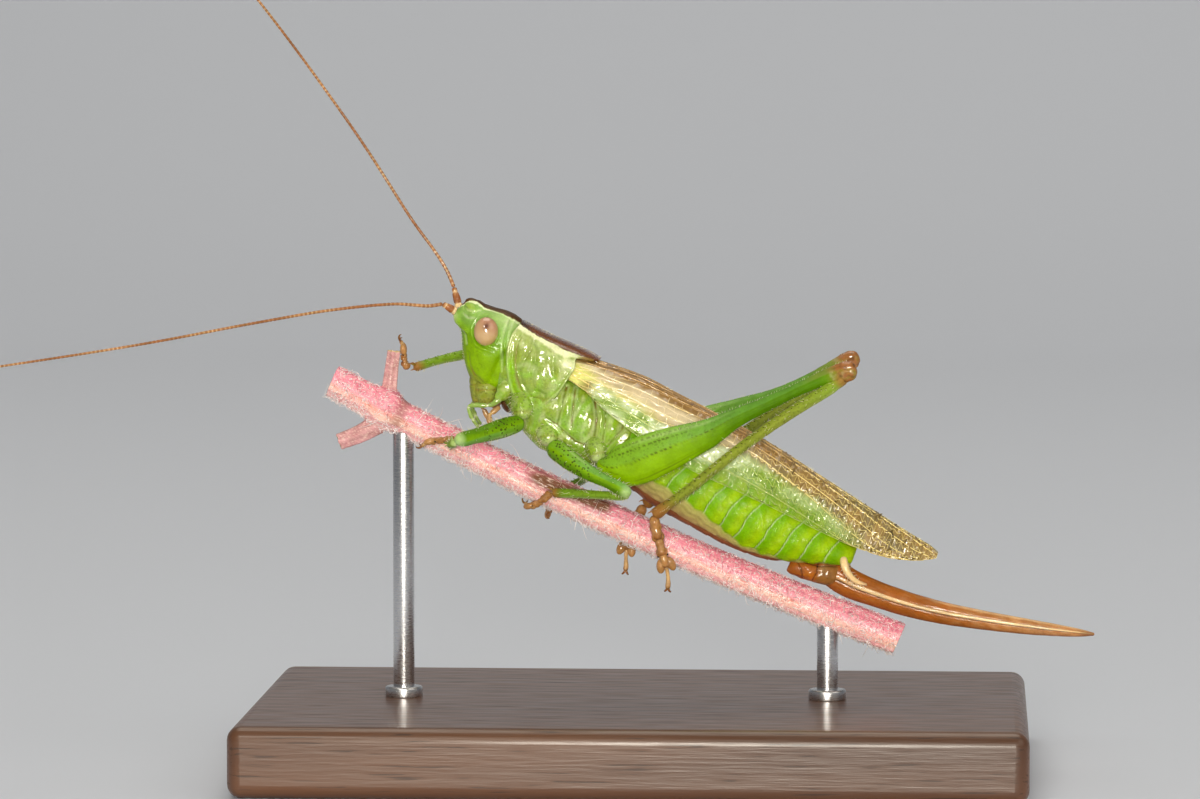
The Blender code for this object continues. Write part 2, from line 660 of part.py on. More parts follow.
def build_legs(pronotum, thorax):
    for name, side in SIDES.items():
        feet = {
            "fore": STALK_FOOT if name == "right" else grip_stations(GRIPS["fore", name], FOOT_SIZES),
            "mid": grip_stations(GRIPS["mid", name], FOOT_SIZES),
            "hind": HIND_TARSUS[name],
        }
        femora = {"fore": FORE_FEMUR[name], "mid": MID_FEMUR[name], "hind": HIND_FEMUR}
        tibiae = {"fore": FORE_TIBIA[name], "mid": MID_TIBIA[name], "hind": HIND_TIBIA[name]}
        for leg in ("fore", "mid", "hind"):
            tag = f"{leg}_{{}}_{name}"
            coxa = add_part(tag.format("coxa"), loft(limb_rings(COXAE[leg], side, 1, FEMUR_SIDES)),
                            "green_cuticle")
            femur = add_part(tag.format("femur"), loft(limb_rings(femora[leg], side, 1, FEMUR_SIDES)),
                             "green_cuticle")
            add_part(tag.format("tibia"), loft(limb_rings(tibiae[leg], side, 1, LIMB_SIDES)),
                     "green_cuticle")
            add_part(tag.format("tarsus"), loft(limb_rings(feet[leg], side, 1, LIMB_SIDES)),
                     "brown_cuticle")

            socket = loft(limb_rings(COXAE[leg], side, 1, FEMUR_SIDES, GAP))
            coxa_socket = add_cutter(tag.format("coxa_socket"), socket)
            boolean(thorax, coxa_socket, "DIFFERENCE")
            if leg == "fore":
                boolean(pronotum, coxa_socket, "DIFFERENCE")
            hip = loft(limb_rings(femora[leg], side, 1, FEMUR_SIDES, GAP))
            boolean(coxa, add_cutter(tag.format("hip_clearance"), hip), "DIFFERENCE")
            knee = loft(limb_rings(tibiae[leg], side, 1, LIMB_SIDES, GAP))
            boolean(femur, add_cutter(tag.format("knee_clearance"), knee), "DIFFERENCE")


def perch_rings(grow, start, end):
    rings = []
    count = 22
    for step in range(count + 1):
        x = start + (end - start) * step / count
        swelling = (NODE_RADIUS - PERCH_RADIUS) * math.exp(-((x - NODE_AT) / 0.55) ** 2)
        radius = PERCH_RADIUS + swelling + grow
        ring = []
        for corner in range(PERCH_SIDES):
            angle = 2 * math.pi * corner / PERCH_SIDES
            ring.append(Vector((x, radius * math.cos(angle),
                                perch_axis_height(x) + radius * math.sin(angle))))
        rings.append(ring)
    return rings


def build_perch():
    perch = add_part("perch", loft(perch_rings(0.0, PERCH_START, PERCH_END)), "stem")
    for name, stalk in (("upper_stalk", UPPER_STALK), ("lower_stalk", LOWER_STALK)):
        boolean(perch, add_cutter(name, loft(limb_rings(stalk, RIGHT, 1, LIMB_SIDES))), "UNION")


def build_stand():
    width, depth, height = (size * MM for size in BASE_SIZE)
    mesh = bmesh.new()
    bmesh.ops.create_cube(mesh, size=1.0)
    bmesh.ops.scale(mesh, vec=(width, depth, height), verts=mesh.verts)
    bmesh.ops.translate(mesh, vec=(0.0, 0.0, height / 2), verts=mesh.verts)
    base = add_object("stand_base", mesh, MODEL)
    base.data.materials.append(make_material("stand_base", "base_wood"))
    edges = base.modifiers.new("rounded_edges", "BEVEL")
    edges.width = BASE_EDGE * MM
    edges.segments = 2

    clearance = add_cutter("perch_clearance",
                           loft(perch_rings(GAP, PERCH_START - 0.5, PERCH_END + 0.5)))
    for name, x in ROD_PLACES.items():
        mesh = bmesh.new()
        bottom = BASE_SIZE[2] + GAP
        top = PERCH_HEIGHT - x * math.tan(math.radians(SLOPE)) + 0.4
        bmesh.ops.create_cone(mesh, cap_ends=True, segments=20, radius1=ROD_RADIUS * MM,
                              radius2=ROD_RADIUS * MM, depth=(top - bottom) * MM)
        bmesh.ops.translate(mesh, vec=(x * MM, 0.0, (top + bottom) / 2 * MM), verts=mesh.verts)
        rod = add_object(f"stand_rod_{name}", mesh, MODEL)
        rod.data.materials.append(make_material(f"stand_rod_{name}", "steel"))
        boolean(rod, clearance, "DIFFERENCE")


PRONOTUM_PIECE, THORAX_PIECE = build_body()
build_head()
build_mouth()
build_feelers()
build_tail()
build_wings()
build_legs(PRONOTUM_PIECE, THORAX_PIECE)
build_perch()
build_stand()
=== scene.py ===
"""Looks of the long-horned grasshopper model: cuticle, eyes, wings, limbs, stem, hairs and stage.

The insect and its stem are laid out along the stem's axis, in millimetres: x runs from head to
tail, y is positive on the insect's right and z is square to the stem. lay() turns such places
into the frame's metres.
"""

from math import ceil, cos, hypot, pi, radians, sin, tan

import bmesh
import bpy
import numpy as np
from bpy.props import FloatProperty, FloatVectorProperty, IntProperty, PointerProperty
from mathutils import Matrix, Vector, noise


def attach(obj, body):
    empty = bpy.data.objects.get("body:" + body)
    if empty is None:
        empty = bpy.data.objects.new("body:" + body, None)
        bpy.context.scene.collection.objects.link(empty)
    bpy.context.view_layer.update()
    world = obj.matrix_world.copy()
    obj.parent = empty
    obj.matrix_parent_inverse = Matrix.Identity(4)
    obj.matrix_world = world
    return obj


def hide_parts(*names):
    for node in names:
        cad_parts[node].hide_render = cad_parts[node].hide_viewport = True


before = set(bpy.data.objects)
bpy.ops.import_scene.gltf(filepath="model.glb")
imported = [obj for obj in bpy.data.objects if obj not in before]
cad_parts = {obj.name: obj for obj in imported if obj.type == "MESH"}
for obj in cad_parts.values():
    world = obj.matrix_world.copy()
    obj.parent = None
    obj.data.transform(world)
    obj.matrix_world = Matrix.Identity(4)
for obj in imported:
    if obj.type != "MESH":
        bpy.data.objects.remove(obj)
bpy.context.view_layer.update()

bl_info = {"name": "Meadow katydid model", "version": (1, 0, 0), "blender": (4, 5, 0),
    "location": "View3D > Sidebar > Katydid",
    "description": "Builds the looks of a life-size meadow katydid on its stem and stand",
    "category": "Add Mesh"}

# Sizes in millimetres, in the layout along the stem.
MM = 0.001
SLOPE = radians(24.0)
PERCH_HEIGHT = 10.1
PERCH_RADIUS = 0.72
PERCH_START, PERCH_END = -14.6, 11.9
PERCH_BOW = 0.0026
NODE_AT = -12.1
NODE_RADIUS = 0.98
EYE_CENTRE = (-9.42, 1.06, 5.24)
EYE_RADII = (0.52, 0.46, 0.61)
EYE_LEAN = radians(20.0)
SIDES = {"left": -1, "right": 1}
SEAM_GAP = 2e-8            # vertices of a seam this near each other, in metres, become one

# Body plates from head to tail: x, top, height of the widest part, bottom, half width.
PRONOTUM = [
    (-8.75, 6.26, 5.2, 3.3, 1.2), (-8.0, 6.23, 5.1, 3.05, 1.36), (-7.0, 6.18, 4.9, 2.9, 1.48),
    (-6.0, 6.19, 4.8, 2.88, 1.54), (-5.2, 6.19, 4.9, 3.0, 1.54), (-4.5, 6.13, 5.1, 3.6, 1.48),
]
THORAX = [
    (-8.4, 4.7, 4.1, 3.2, 0.8), (-7.3, 4.9, 3.8, 2.6, 1.05), (-6.3, 5.0, 3.6, 1.95, 1.2),
    (-5.4, 5.02, 3.6, 1.6, 1.28), (-4.3, 4.98, 3.5, 1.6, 1.32), (-3.2, 4.94, 3.4, 1.8, 1.32),
    (-2.0, 4.88, 3.2, 1.9, 1.3),
]
ABDOMEN = [
    (-3.0, 4.8, 3.1, 2.05, 1.16), (-1.5, 4.86, 2.9, 1.66, 1.3), (0.0, 4.8, 2.75, 1.3, 1.35),
    (2.0, 4.68, 2.65, 1.12, 1.35), (4.0, 4.44, 2.55, 1.03, 1.3), (5.5, 4.18, 2.45, 1.2, 1.18),
    (6.5, 3.96, 2.45, 1.52, 1.04), (7.5, 3.64, 2.55, 1.9, 0.84), (8.2, 3.34, 2.65, 2.26, 0.6),
    (8.5, 3.14, 2.74, 2.44, 0.4), (8.66, 2.96, 2.76, 2.6, 0.16),
]
# The head from the crown down: height, front, back, half width, fullness of the front.
HEAD = [
    (6.25, -10.4, -8.8, 0.04, 2.0), (6.22, -10.62, -8.7, 0.3, 2.0), (6.1, -10.78, -8.6, 0.54, 1.9),
    (5.86, -10.86, -8.58, 0.86, 1.7), (5.58, -10.96, -8.52, 1.06, 1.5), (5.3, -11.06, -8.46, 1.13, 1.4),
    (5.12, -10.94, -8.42, 1.15, 1.5), (4.96, -10.62, -8.38, 1.17, 1.8), (4.6, -10.36, -8.26, 1.18, 2.0),
    (4.1, -10.1, -8.06, 1.16, 2.1), (3.6, -9.78, -7.92, 1.04, 2.1), (3.28, -9.5, -7.98, 0.92, 2.0),
    (3.08, -9.3, -8.14, 0.72, 2.0), (3.0, -9.0, -8.44, 0.12, 2.0),
]
CREST = [(-10.95, 5.7), (-10.85, 5.84), (-10.79, 5.99), (-10.64, 6.15), (-10.44, 6.22),
    (-10.24, 6.25), (-9.92, 6.2), (-9.63, 6.23), (-9.36, 6.28), (-9.06, 6.33), (-8.79, 6.33),
    (-8.47, 6.28), (-8.14, 6.22), (-7.78, 6.21), (-7.0, 6.18), (-6.31, 6.17), (-5.6, 6.2),
    (-4.89, 6.17), (-4.4, 6.12)]


# ---------------------------------------------------------------- shapes

def lay(points):
    """Places along the stem, in millimetres, as places in the frame, in metres."""
    x, y, z = np.moveaxis(np.asarray(points, float), -1, 0)
    return np.stack((x * cos(SLOPE) + z * sin(SLOPE), y,
        PERCH_HEIGHT - x * sin(SLOPE) + z * cos(SLOPE)), -1) * MM


def at(table, place):
    """The table's other columns at each place along its first one, on a smooth curve."""
    rows = np.asarray(table, float)
    knots, values = rows[:, 0], rows[:, 1:]
    steps = np.diff(knots)[:, None]
    rises = np.diff(values, axis=0) / steps
    slopes = np.vstack((rises[:1], (rises[:-1] * steps[1:] + rises[1:] * steps[:-1])
        / (steps[1:] + steps[:-1]), rises[-1:]))
    place = np.clip(place, knots[0], knots[-1])
    index = np.clip(np.searchsorted(knots, place) - 1, 0, len(steps) - 1)
    step = steps[index]
    t = ((place - knots[index]) / step[:, 0])[:, None]
    return (values[index] * (2 * t**3 - 3 * t**2 + 1) + slopes[index] * step * (t**3 - 2 * t**2 + t)
        + values[index + 1] * (3 * t**2 - 2 * t**3) + slopes[index + 1] * step * (t**3 - t**2))


def by_reach(rows):
    """The stations with their share of the whole reach in front, for at()."""
    rows = np.asarray(rows, float)
    reach = np.concatenate(([0.0], np.cumsum(np.linalg.norm(np.diff(rows, axis=0), axis=1))))
    return np.column_stack((reach / reach[-1], rows))


def smooth(low, high, value):
    t = np.clip((value - low) / (high - low), 0.0, 1.0)
    return t * t * (3 - 2 * t)


def bell(distance, width):
    return np.exp(-((distance / width) ** 2))


def unit(value):
    """Values held within 0 and 1."""
    return np.clip(value, 0, 1)


def read(table, place):
    """The second column of a table at each place along its first one, on straight lines."""
    return np.interp(place, *zip(*table))


def dab(x, z, x0, z0, width, height):
    """A soft round patch in the side view."""
    return bell(np.hypot((x - x0) / width, (z - z0) / height), 1.0)


def stroke(x, z, line):
    """How far each place is from a line of places, in the side view."""
    best = np.full(np.shape(x), 1e9)
    for (x0, z0), (x1, z1) in zip(line, line[1:]):
        dx, dz = x1 - x0, z1 - z0
        t = unit(((x - x0) * dx + (z - z0) * dz) / (dx * dx + dz * dz))
        best = np.minimum(best, np.hypot(x - x0 - t * dx, z - z0 - t * dz))
    return best


def off_eye(x, z):
    """How far out from the eye's middle each place is in the side view, with 1 at the rim."""
    ahead, up = x - EYE_CENTRE[0], z - EYE_CENTRE[2]
    lean, stand = sin(EYE_LEAN), cos(EYE_LEAN)
    return np.hypot((ahead * stand + up * lean) / EYE_RADII[0],
        (up * stand - ahead * lean) / EYE_RADII[2])


def ripple(points, size, seed=0.0):
    """Smooth random values from about -1 to 1, in lumps of the given size."""
    scaled = np.asarray(points, float) / size + seed
    return np.array([noise.noise(place) for place in scaled.tolist()])


def oval(angle, power):
    """Across and up on a unit superellipse: 2 is round, and more is boxier."""
    across, upward = np.cos(angle), np.sin(angle)
    return (np.sign(across) * np.abs(across) ** (2 / power),
        np.sign(upward) * np.abs(upward) ** (2 / power))


def ring(stations, angle, top_power, bottom_power):
    """y and z on upright rings, from columns of top, widest height, bottom, half width."""
    top, widest, bottom, half = stations.T[:4]
    across, upward = oval(angle, np.where(np.sin(angle) >= 0, top_power, bottom_power))
    return half * across, widest + np.where(upward >= 0, top - widest, widest - bottom) * upward


def open_layers(mesh, names):
    """Makes sure the mesh can hold a UV map, the relief and these marks, before it grows."""
    floats = mesh.verts.layers.float
    for name in names:
        if not floats.get(name):
            floats.new(name)
    if not floats.get("lift"):
        floats.new("lift")
    uv = mesh.loops.layers.uv.get("surface") or mesh.loops.layers.uv.new("surface")
    return uv, mesh.verts.layers.float["lift"]


def bent_grid(mesh, columns, rows, shape, size=(1.0, 1.0)):
    """Adds a grid bent by shape(u, v), which gives places, relief and marks; seams are closed.

    The relief lifts the surface along its normals, in millimetres. The marks are values kept on
    the vertices for the materials. The grid's own u and v, times size, are its UV map.
    """
    middle = np.full(1, 0.5)
    uv, lift = open_layers(mesh, shape(middle, middle)[2])
    floats = mesh.verts.layers.float
    made = bmesh.ops.create_grid(mesh, x_segments=columns, y_segments=rows, size=0.5)["verts"]
    flat = np.array([vert.co[:2] for vert in made]) + 0.5
    points, relief, marks = shape(flat[:, 0], flat[:, 1])
    place = {vert: tuple(pair) for vert, pair in zip(made, flat * size)}
    faces = list({face for vert in made for face in vert.link_faces})
    for face in faces:
        for loop in face.loops:
            loop[uv].uv = place[loop.vert]
    relief = np.broadcast_to(relief, len(made))
    for vert, point, rise in zip(made, lay(points), relief):
        vert.co = point
        vert[lift] = rise * MM
    for name, values in marks.items():
        layer = floats[name]
        for vert, value in zip(made, np.broadcast_to(values, len(made)).tolist()):
            vert[layer] = value
    bmesh.ops.remove_doubles(mesh, verts=made, dist=SEAM_GAP)
    faces = [face for face in faces if face.is_valid]
    bmesh.ops.recalc_face_normals(mesh, faces=faces)
    verts = {vert for face in faces for vert in face.verts}
    for vert in verts:
        vert.normal_update()
    moves = [(vert, vert.normal * vert[lift]) for vert in verts]
    for vert, move in moves:
        vert.co += move
        vert[lift] = 0.0
    return faces


def run_of(centres):
    """Unit directions along a line of places."""
    ahead = np.gradient(centres, axis=0)
    return ahead / np.linalg.norm(ahead, axis=1)[:, None]


def tube(mesh, stations, side=1, rings=40, sides=16, caps=(1.0, 1.0), dress=None):
    """Adds a limb through stations of x, y outwards, z, half width, half depth.

    Its ends are rounded over `caps` times the half width. dress(share, angle, points) gives its
    relief and marks: angle 0 faces the insect's left, and a quarter turn faces down or back.
    """
    table = by_reach(stations)
    length = np.sum(np.linalg.norm(np.diff(np.asarray(stations, float)[:, :3], axis=0), axis=1))
    cap = [max(size * end[3], 1e-3) / length for size, end in zip(caps, (stations[0], stations[-1]))]
    steps = np.linspace(0, 1, rings + 1)
    steps = np.interp(steps, [0, 0.12, 0.88, 1], [0, cap[0], 1 - cap[1], 1])
    start, end = steps <= cap[0] + 1e-9, steps >= 1 - cap[1] - 1e-9
    steps[start] = cap[0] * (1 - np.cos(np.pi / 2 * steps[start] / cap[0]))
    steps[end] = 1 - cap[1] * (1 - np.cos(np.pi / 2 * (1 - steps[end]) / cap[1]))
    round_off = (np.sqrt(unit(1 - (1 - steps / cap[0]).clip(0, 1) ** 2))
        * np.sqrt(unit(1 - (1 - (1 - steps) / cap[1]).clip(0, 1) ** 2)))
    rows = at(table, steps)
    centres = rows[:, :3] * (1, side, 1)
    run = run_of(centres)
    width_way = np.cross(np.stack((run[:, 2], np.zeros(len(run)), -run[:, 0]), -1), run)
    width_way /= np.linalg.norm(width_way, axis=1)[:, None]
    depth_way = np.cross(run, width_way)

    def shape(u, v):
        index = np.rint(u * rings).astype(int)
        angle = 2 * pi * v
        reach = (width_way[index] * (rows[index, 3] * round_off[index] * np.cos(angle))[:, None]
            + depth_way[index] * (rows[index, 4] * round_off[index] * np.sin(angle))[:, None])
        points = centres[index] + reach
        relief, marks = dress(steps[index], angle, points) if dress else (0.0, {})
        return points, relief * round_off[index], marks

    girth = pi * (np.mean(rows[:, 3]) + np.mean(rows[:, 4]))
    return bent_grid(mesh, rings, sides, shape, (length, girth))


def body_shell(mesh, table, columns, rows, powers, dress, span=None):
    """Adds a closed body through upright rings along x, its seam along the belly."""
    start, end = span or (table[0][0], table[-1][0])

    def shape(u, v):
        x = start + (end - start) * u
        stations = at(table, x)
        angle = 2 * pi * v - pi / 2
        y, z = ring(stations, angle, *powers)
        shut = np.minimum(1, np.sqrt(unit(np.minimum(u, 1 - u) / 0.01)))
        middle = stations[:, 1]
        points = np.stack((x, y * shut, middle + (z - middle) * shut), -1)
        relief, marks = dress(points)
        return points, relief * shut, marks

    return bent_grid(mesh, columns, rows, shape, (end - start, 8.0))


def finish_piece(name, mesh, skin, slot, *nodes):
    """Makes the finished object, lets it ride on the body and hides the solids it stands for."""
    lift = mesh.verts.layers.float.get("lift")
    if lift:
        mesh.verts.layers.float.remove(lift)
    data = bpy.data.meshes.new(name)
    mesh.to_mesh(data)
    mesh.free()
    data.shade_smooth()
    piece = bpy.data.objects.new(name, data)
    bpy.context.scene.collection.objects.link(piece)
    data.materials.append(bpy.data.materials[skin])
    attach(piece, "root")
    if nodes:
        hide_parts(*nodes)
    return piece


# ---------------------------------------------------------------- materials

def tint(red, green, blue):
    """A colour given in everyday 0 to 255 values, as the linear values that shaders take."""
    return tuple(((value / 255 + 0.055) / 1.055) ** 2.4 if value > 10 else value / 255 / 12.92
        for value in (red, green, blue)) + (1.0,)


def add(tree, kind, inputs=None, **settings):
    """Adds a shader node, sets it up and feeds its inputs with sockets or values."""
    node = tree.nodes.new("ShaderNode" + kind)
    for key, value in settings.items():
        setattr(node, key, value)
    for key, value in (inputs or {}).items():
        if isinstance(value, bpy.types.NodeSocket):
            tree.links.new(value, node.inputs[key])
        else:
            node.inputs[key].default_value = value
    return node


def feed(node, **sockets):
    """Feeds a node's inputs, named with underscores for spaces."""
    for key, socket in sockets.items():
        node.id_data.links.new(socket, node.inputs[key.replace("_", " ")])


def mix(tree, share, first, second, blend="MIX"):
    node = add(tree, "Mix", {0: share, 6: first, 7: second}, data_type="RGBA", blend_type=blend)
    return node.outputs[2]


def calc(tree, operation, first, second=0.0, clamp=False):
    return add(tree, "Math", {0: first, 1: second}, operation=operation, use_clamp=clamp).outputs[0]


def span(tree, value, low, high, start=0.0, end=1.0):
    return add(tree, "MapRange", {0: value, 1: low, 2: high, 3: start, 4: end},
        interpolation_type="SMOOTHSTEP").outputs[0]


def mark(tree, name):
    return add(tree, "Attribute", attribute_name=name).outputs["Fac"]


def object_place(tree):
    return add(tree, "TexCoord").outputs["Object"]


def drawn_out(tree, place, scale):
    """Places scaled along each axis, which draws a pattern out."""
    return add(tree, "VectorMath", {0: place, 1: scale}, operation="MULTIPLY").outputs[0]


def lumps(tree, vector, size, detail=2.0, roughness=0.5):
    """Noise in lumps of the given size in millimetres, on object coordinates."""
    return add(tree, "TexNoise", {"Vector": vector, "Scale": 1 / (size * MM), "Detail": detail,
        "Roughness": roughness}).outputs[0]


def overlay(tree, colour, shades):
    """Lays each (mark, colour) over the base colour in turn."""
    for label, shade in shades:
        colour = mix(tree, mark(tree, label), colour, shade)
    return colour


def surface_group(name, inputs, outputs):
    """A node group with named inputs of (kind, default) and named outputs of a kind."""
    tree = bpy.data.node_groups.new(name, "ShaderNodeTree")
    for label, (kind, default) in inputs.items():
        socket = tree.interface.new_socket(label, in_out="INPUT", socket_type="NodeSocket" + kind)
        socket.default_value = default
    for label, kind in outputs.items():
        tree.interface.new_socket(label, in_out="OUTPUT", socket_type="NodeSocket" + kind)
    return tree, tree.nodes.new("NodeGroupInput").outputs, tree.nodes.new("NodeGroupOutput").inputs


def cuticle_group():
    """Mottled colour, pits and dark dots, shared by every horny plate and limb."""
    tree, given, out = surface_group("cuticle_surface",
        {"Colour": ("Color", (0.2, 0.4, 0.02, 1.0)), "Mottle": ("Float", 0.12),
        "Dots": ("Float", 0.0), "Dot Colour": ("Color", tint(50, 45, 15)),
        "Dot Size": ("Float", 0.62), "Pits": ("Float", 0.5), "Wet": ("Float", 0.0)},
        {"Colour": "Color", "Height": "Float", "Roughness": "Float", "Gloss": "Float"})
    place = object_place(tree)
    broad = lumps(tree, place, 0.5, 3.0)
    fine = lumps(tree, place, 0.09, 3.0, 0.6)
    shade = calc(tree, "ADD", calc(tree, "MULTIPLY", broad, 0.6), calc(tree, "MULTIPLY", fine, 0.4))
    shade = span(tree, shade, 0.34, 0.66, -1.0, 1.0)
    value = calc(tree, "ADD", 1.0, calc(tree, "MULTIPLY", shade, given["Mottle"]))
    grey = add(tree, "CombineColor", {0: value, 1: value, 2: value}).outputs[0]
    colour = mix(tree, 1.0, given["Colour"], grey, "MULTIPLY")
    spots = add(tree, "TexVoronoi", {"Vector": place, "Scale": 1 / (0.15 * MM),
        "Randomness": 0.9}).outputs["Distance"]
    spot = calc(tree, "LESS_THAN", spots, calc(tree, "MULTIPLY", given["Dot Size"], fine))
    spot = calc(tree, "MULTIPLY", spot, given["Dots"], True)
    tree.links.new(mix(tree, spot, colour, given["Dot Colour"]), out["Colour"])
    pits = add(tree, "TexVoronoi", {"Vector": place, "Scale": 1 / (0.07 * MM)},
        feature="SMOOTH_F1").outputs["Distance"]
    height = calc(tree, "ADD", calc(tree, "MULTIPLY", pits, given["Pits"]),
        calc(tree, "MULTIPLY", broad, 1.5))
    tree.links.new(height, out["Height"])
    rough = span(tree, fine, 0.3, 0.7, 0.34, 0.55)
    tree.links.new(calc(tree, "SUBTRACT", rough, given["Wet"]), out["Roughness"])
    tree.links.new(span(tree, lumps(tree, place, 0.06, 2.0, 0.6), 0.44, 0.54), out["Gloss"])


def new_material(name, **settings):
    """The tree and the shader of a new material, with underscores for spaces in these values."""
    material = bpy.data.materials.new(name)
    material.use_nodes = True
    shader = material.node_tree.nodes["Principled BSDF"]
    for key, value in settings.items():
        shader.inputs[key.replace("_", " ")].default_value = value
    return material.node_tree, shader


def bump(tree, shader, height, distance, strength=1.0):
    feed(shader, Normal=add(tree, "Bump", {"Height": height, "Strength": strength,
        "Distance": distance * MM}).outputs[0])


def cuticle(name, base, shades, pits=0.5, mottle=0.12, wet=0.0, gloss=0.15):
    """A horny surface: its base colour, then each (mark, colour) laid over it in turn."""
    tree, shader = new_material(name, Coat_Roughness=0.09, Coat_IOR=1.7, Specular_IOR_Level=0.12,
        Subsurface_Weight=0.12, Subsurface_Scale=0.0004, Subsurface_Radius=(0.6, 1.0, 0.25))
    made = add(tree, "Group", {"Colour": overlay(tree, base, shades), "Mottle": mottle, "Pits": pits,
        "Wet": wet, "Dots": mark(tree, "dotted")},
        node_tree=bpy.data.node_groups["cuticle_surface"]).outputs
    coat = calc(tree, "MULTIPLY", calc(tree, "ADD", mark(tree, "wet"), gloss), made["Gloss"], True)
    feed(shader, Base_Color=made["Colour"], Roughness=made["Roughness"], Coat_Weight=coat)
    bump(tree, shader, made["Height"], 0.012)


def eye_material():
    tree, shader = new_material("eye_skin", Coat_Weight=1.0, Coat_Roughness=0.05, Coat_IOR=1.8,
        Roughness=0.5, Specular_IOR_Level=0.2)
    colour = mix(tree, mark(tree, "upper"), tint(200, 164, 114), tint(190, 138, 110))
    colour = mix(tree, calc(tree, "MULTIPLY", mark(tree, "rim"), 0.45), colour, tint(190, 142, 90))
    feed(shader, Base_Color=mix(tree, mark(tree, "pupil"), colour, tint(100, 56, 44)))
    facets = add(tree, "TexVoronoi", {"Vector": object_place(tree), "Scale": 1 / (0.03 * MM),
        "Randomness": 0.15}).outputs["Distance"]
    bump(tree, shader, facets, 0.002, 0.6)


def wing_material():
    tree, shader = new_material("wing_skin", Coat_Roughness=0.07, Coat_IOR=1.7, Roughness=0.38)
    place = object_place(tree)
    field, vein = mark(tree, "field"), mark(tree, "vein")
    colour = mix(tree, span(tree, lumps(tree, place, 0.7, 3.0), 0.35, 0.65), tint(110, 94, 46),
        tint(150, 120, 60))
    colour = overlay(tree, colour, [("tan", tint(142, 104, 44)), ("cream", tint(226, 208, 170))])
    colour = mix(tree, calc(tree, "MULTIPLY", mark(tree, "streak"), 0.6), colour, tint(124, 82, 40))
    colour = overlay(tree, colour, [("fresh", tint(216, 216, 112)), ("field", tint(160, 198, 50))])
    fog = calc(tree, "MULTIPLY", mark(tree, "fog"), span(tree, lumps(tree, place, 0.07, 3.0, 0.7),
        0.36, 0.56, 0.6, 1.0))
    colour = mix(tree, fog, colour, tint(242, 250, 216))
    rib = overlay(tree, tint(244, 222, 138), [("tan", tint(196, 154, 92)),
        ("cream", tint(240, 222, 184)), ("field", tint(210, 222, 130))])
    clear = calc(tree, "MULTIPLY", field, span(tree, mark(tree, "lower"), 0.0, 1.0, 0.62, 0.86))
    clear = calc(tree, "MULTIPLY", clear, span(tree, vein, 0.2, 0.9, 1.0, 0.6))
    clear = calc(tree, "MULTIPLY", clear, calc(tree, "SUBTRACT", 1.0, calc(tree, "MULTIPLY", fog, 0.7)))
    feed(shader, Base_Color=mix(tree, vein, colour, rib), Alpha=calc(tree, "SUBTRACT", 1.0, clear),
        Coat_Weight=span(tree, lumps(tree, place, 0.07, 1.0), 0.46, 0.54))
    bump(tree, shader, lumps(tree, place, 0.05, 2.0), 0.006, 0.5)


def stem_colour(tree):
    """The stem's colours from its marks, with slanting fibres; used by bark and wool alike."""
    along = add(tree, "VectorRotate", {"Vector": object_place(tree), "Axis": (0, 1, 0), "Angle": -SLOPE})
    fibre = lumps(tree, drawn_out(tree, along.outputs[0], (0.22, 1.0, 1.0)), 0.06, 3.0, 0.65)
    # The last, dark brown colour is painted shade in the groove under the insect, and the stalks' own
    # brown and spots by the node.
    colour = overlay(tree, tint(240, 162, 176), [("below", tint(238, 188, 186)),
        ("deep", tint(230, 124, 148)), ("rib", tint(248, 214, 186)), ("orange", tint(240, 160, 126)),
        ("hollow", tint(116, 70, 40))])
    colour = mix(tree, span(tree, fibre, 0.52, 0.66, 0.0, 0.65), colour, tint(252, 224, 212))
    return mix(tree, span(tree, fibre, 0.46, 0.32, 0.0, 0.45), colour, tint(170, 74, 88)), fibre


def make_stem_materials():
    tree, shader = new_material("stem_skin", Roughness=0.6, Coat_Weight=0.15)
    colour, fibre = stem_colour(tree)
    feed(shader, Base_Color=overlay(tree, colour, [("cut", tint(200, 168, 120)),
        ("pith", tint(236, 226, 198))]))
    bump(tree, shader, fibre, 0.02)
    tree, shader = new_material("wool_skin", Roughness=0.55)
    colour, _ = stem_colour(tree)
    colour = mix(tree, span(tree, mark(tree, "tone"), 0.22, 0.0, 0.0, 0.45), colour, tint(160, 82, 112))
    feed(shader, Base_Color=mix(tree, span(tree, mark(tree, "tone"), 0.26, 0.7, 0.0, 0.95), colour,
        tint(254, 248, 248)))


def make_stand_materials():
    tree, shader = new_material("wood_skin", Coat_Weight=0.3, Coat_Roughness=0.2)
    place = object_place(tree)
    drawn = drawn_out(tree, place, (0.07, 1.0, 0.8))
    rings = add(tree, "TexWave", {"Vector": drawn, "Scale": 260.0, "Distortion": 9.0,
        "Detail": 3.0, "Detail Scale": 0.8}, bands_direction="Y").outputs["Fac"]
    pores = lumps(tree, drawn_out(tree, place, (0.05, 1.0, 1.0)), 0.12, 2.0)
    colour = mix(tree, calc(tree, "MULTIPLY", rings, lumps(tree, drawn, 3.5, 1.0)), tint(104, 68, 44),
        tint(62, 38, 25))
    feed(shader, Roughness=span(tree, pores, 0.4, 0.7, 0.34, 0.55),
        Base_Color=mix(tree, span(tree, pores, 0.6, 0.7, 0.0, 0.6), colour, tint(38, 23, 16)))
    bump(tree, shader, pores, -0.02, 0.6)
    tree, shader = new_material("steel_skin", Metallic=1.0, Base_Color=(0.62, 0.62, 0.64, 1.0))
    drawn = drawn_out(tree, object_place(tree), (1.0, 1.0, 14.0))
    feed(shader, Roughness=span(tree, lumps(tree, drawn, 0.25, 3.0), 0.3, 0.7, 0.2, 0.36))


def hair_material():
    tree, shader = new_material("hair_skin", Roughness=0.45)
    feed(shader, Base_Color=mix(tree, mark(tree, "tone"), tint(226, 222, 176), tint(246, 242, 224)))


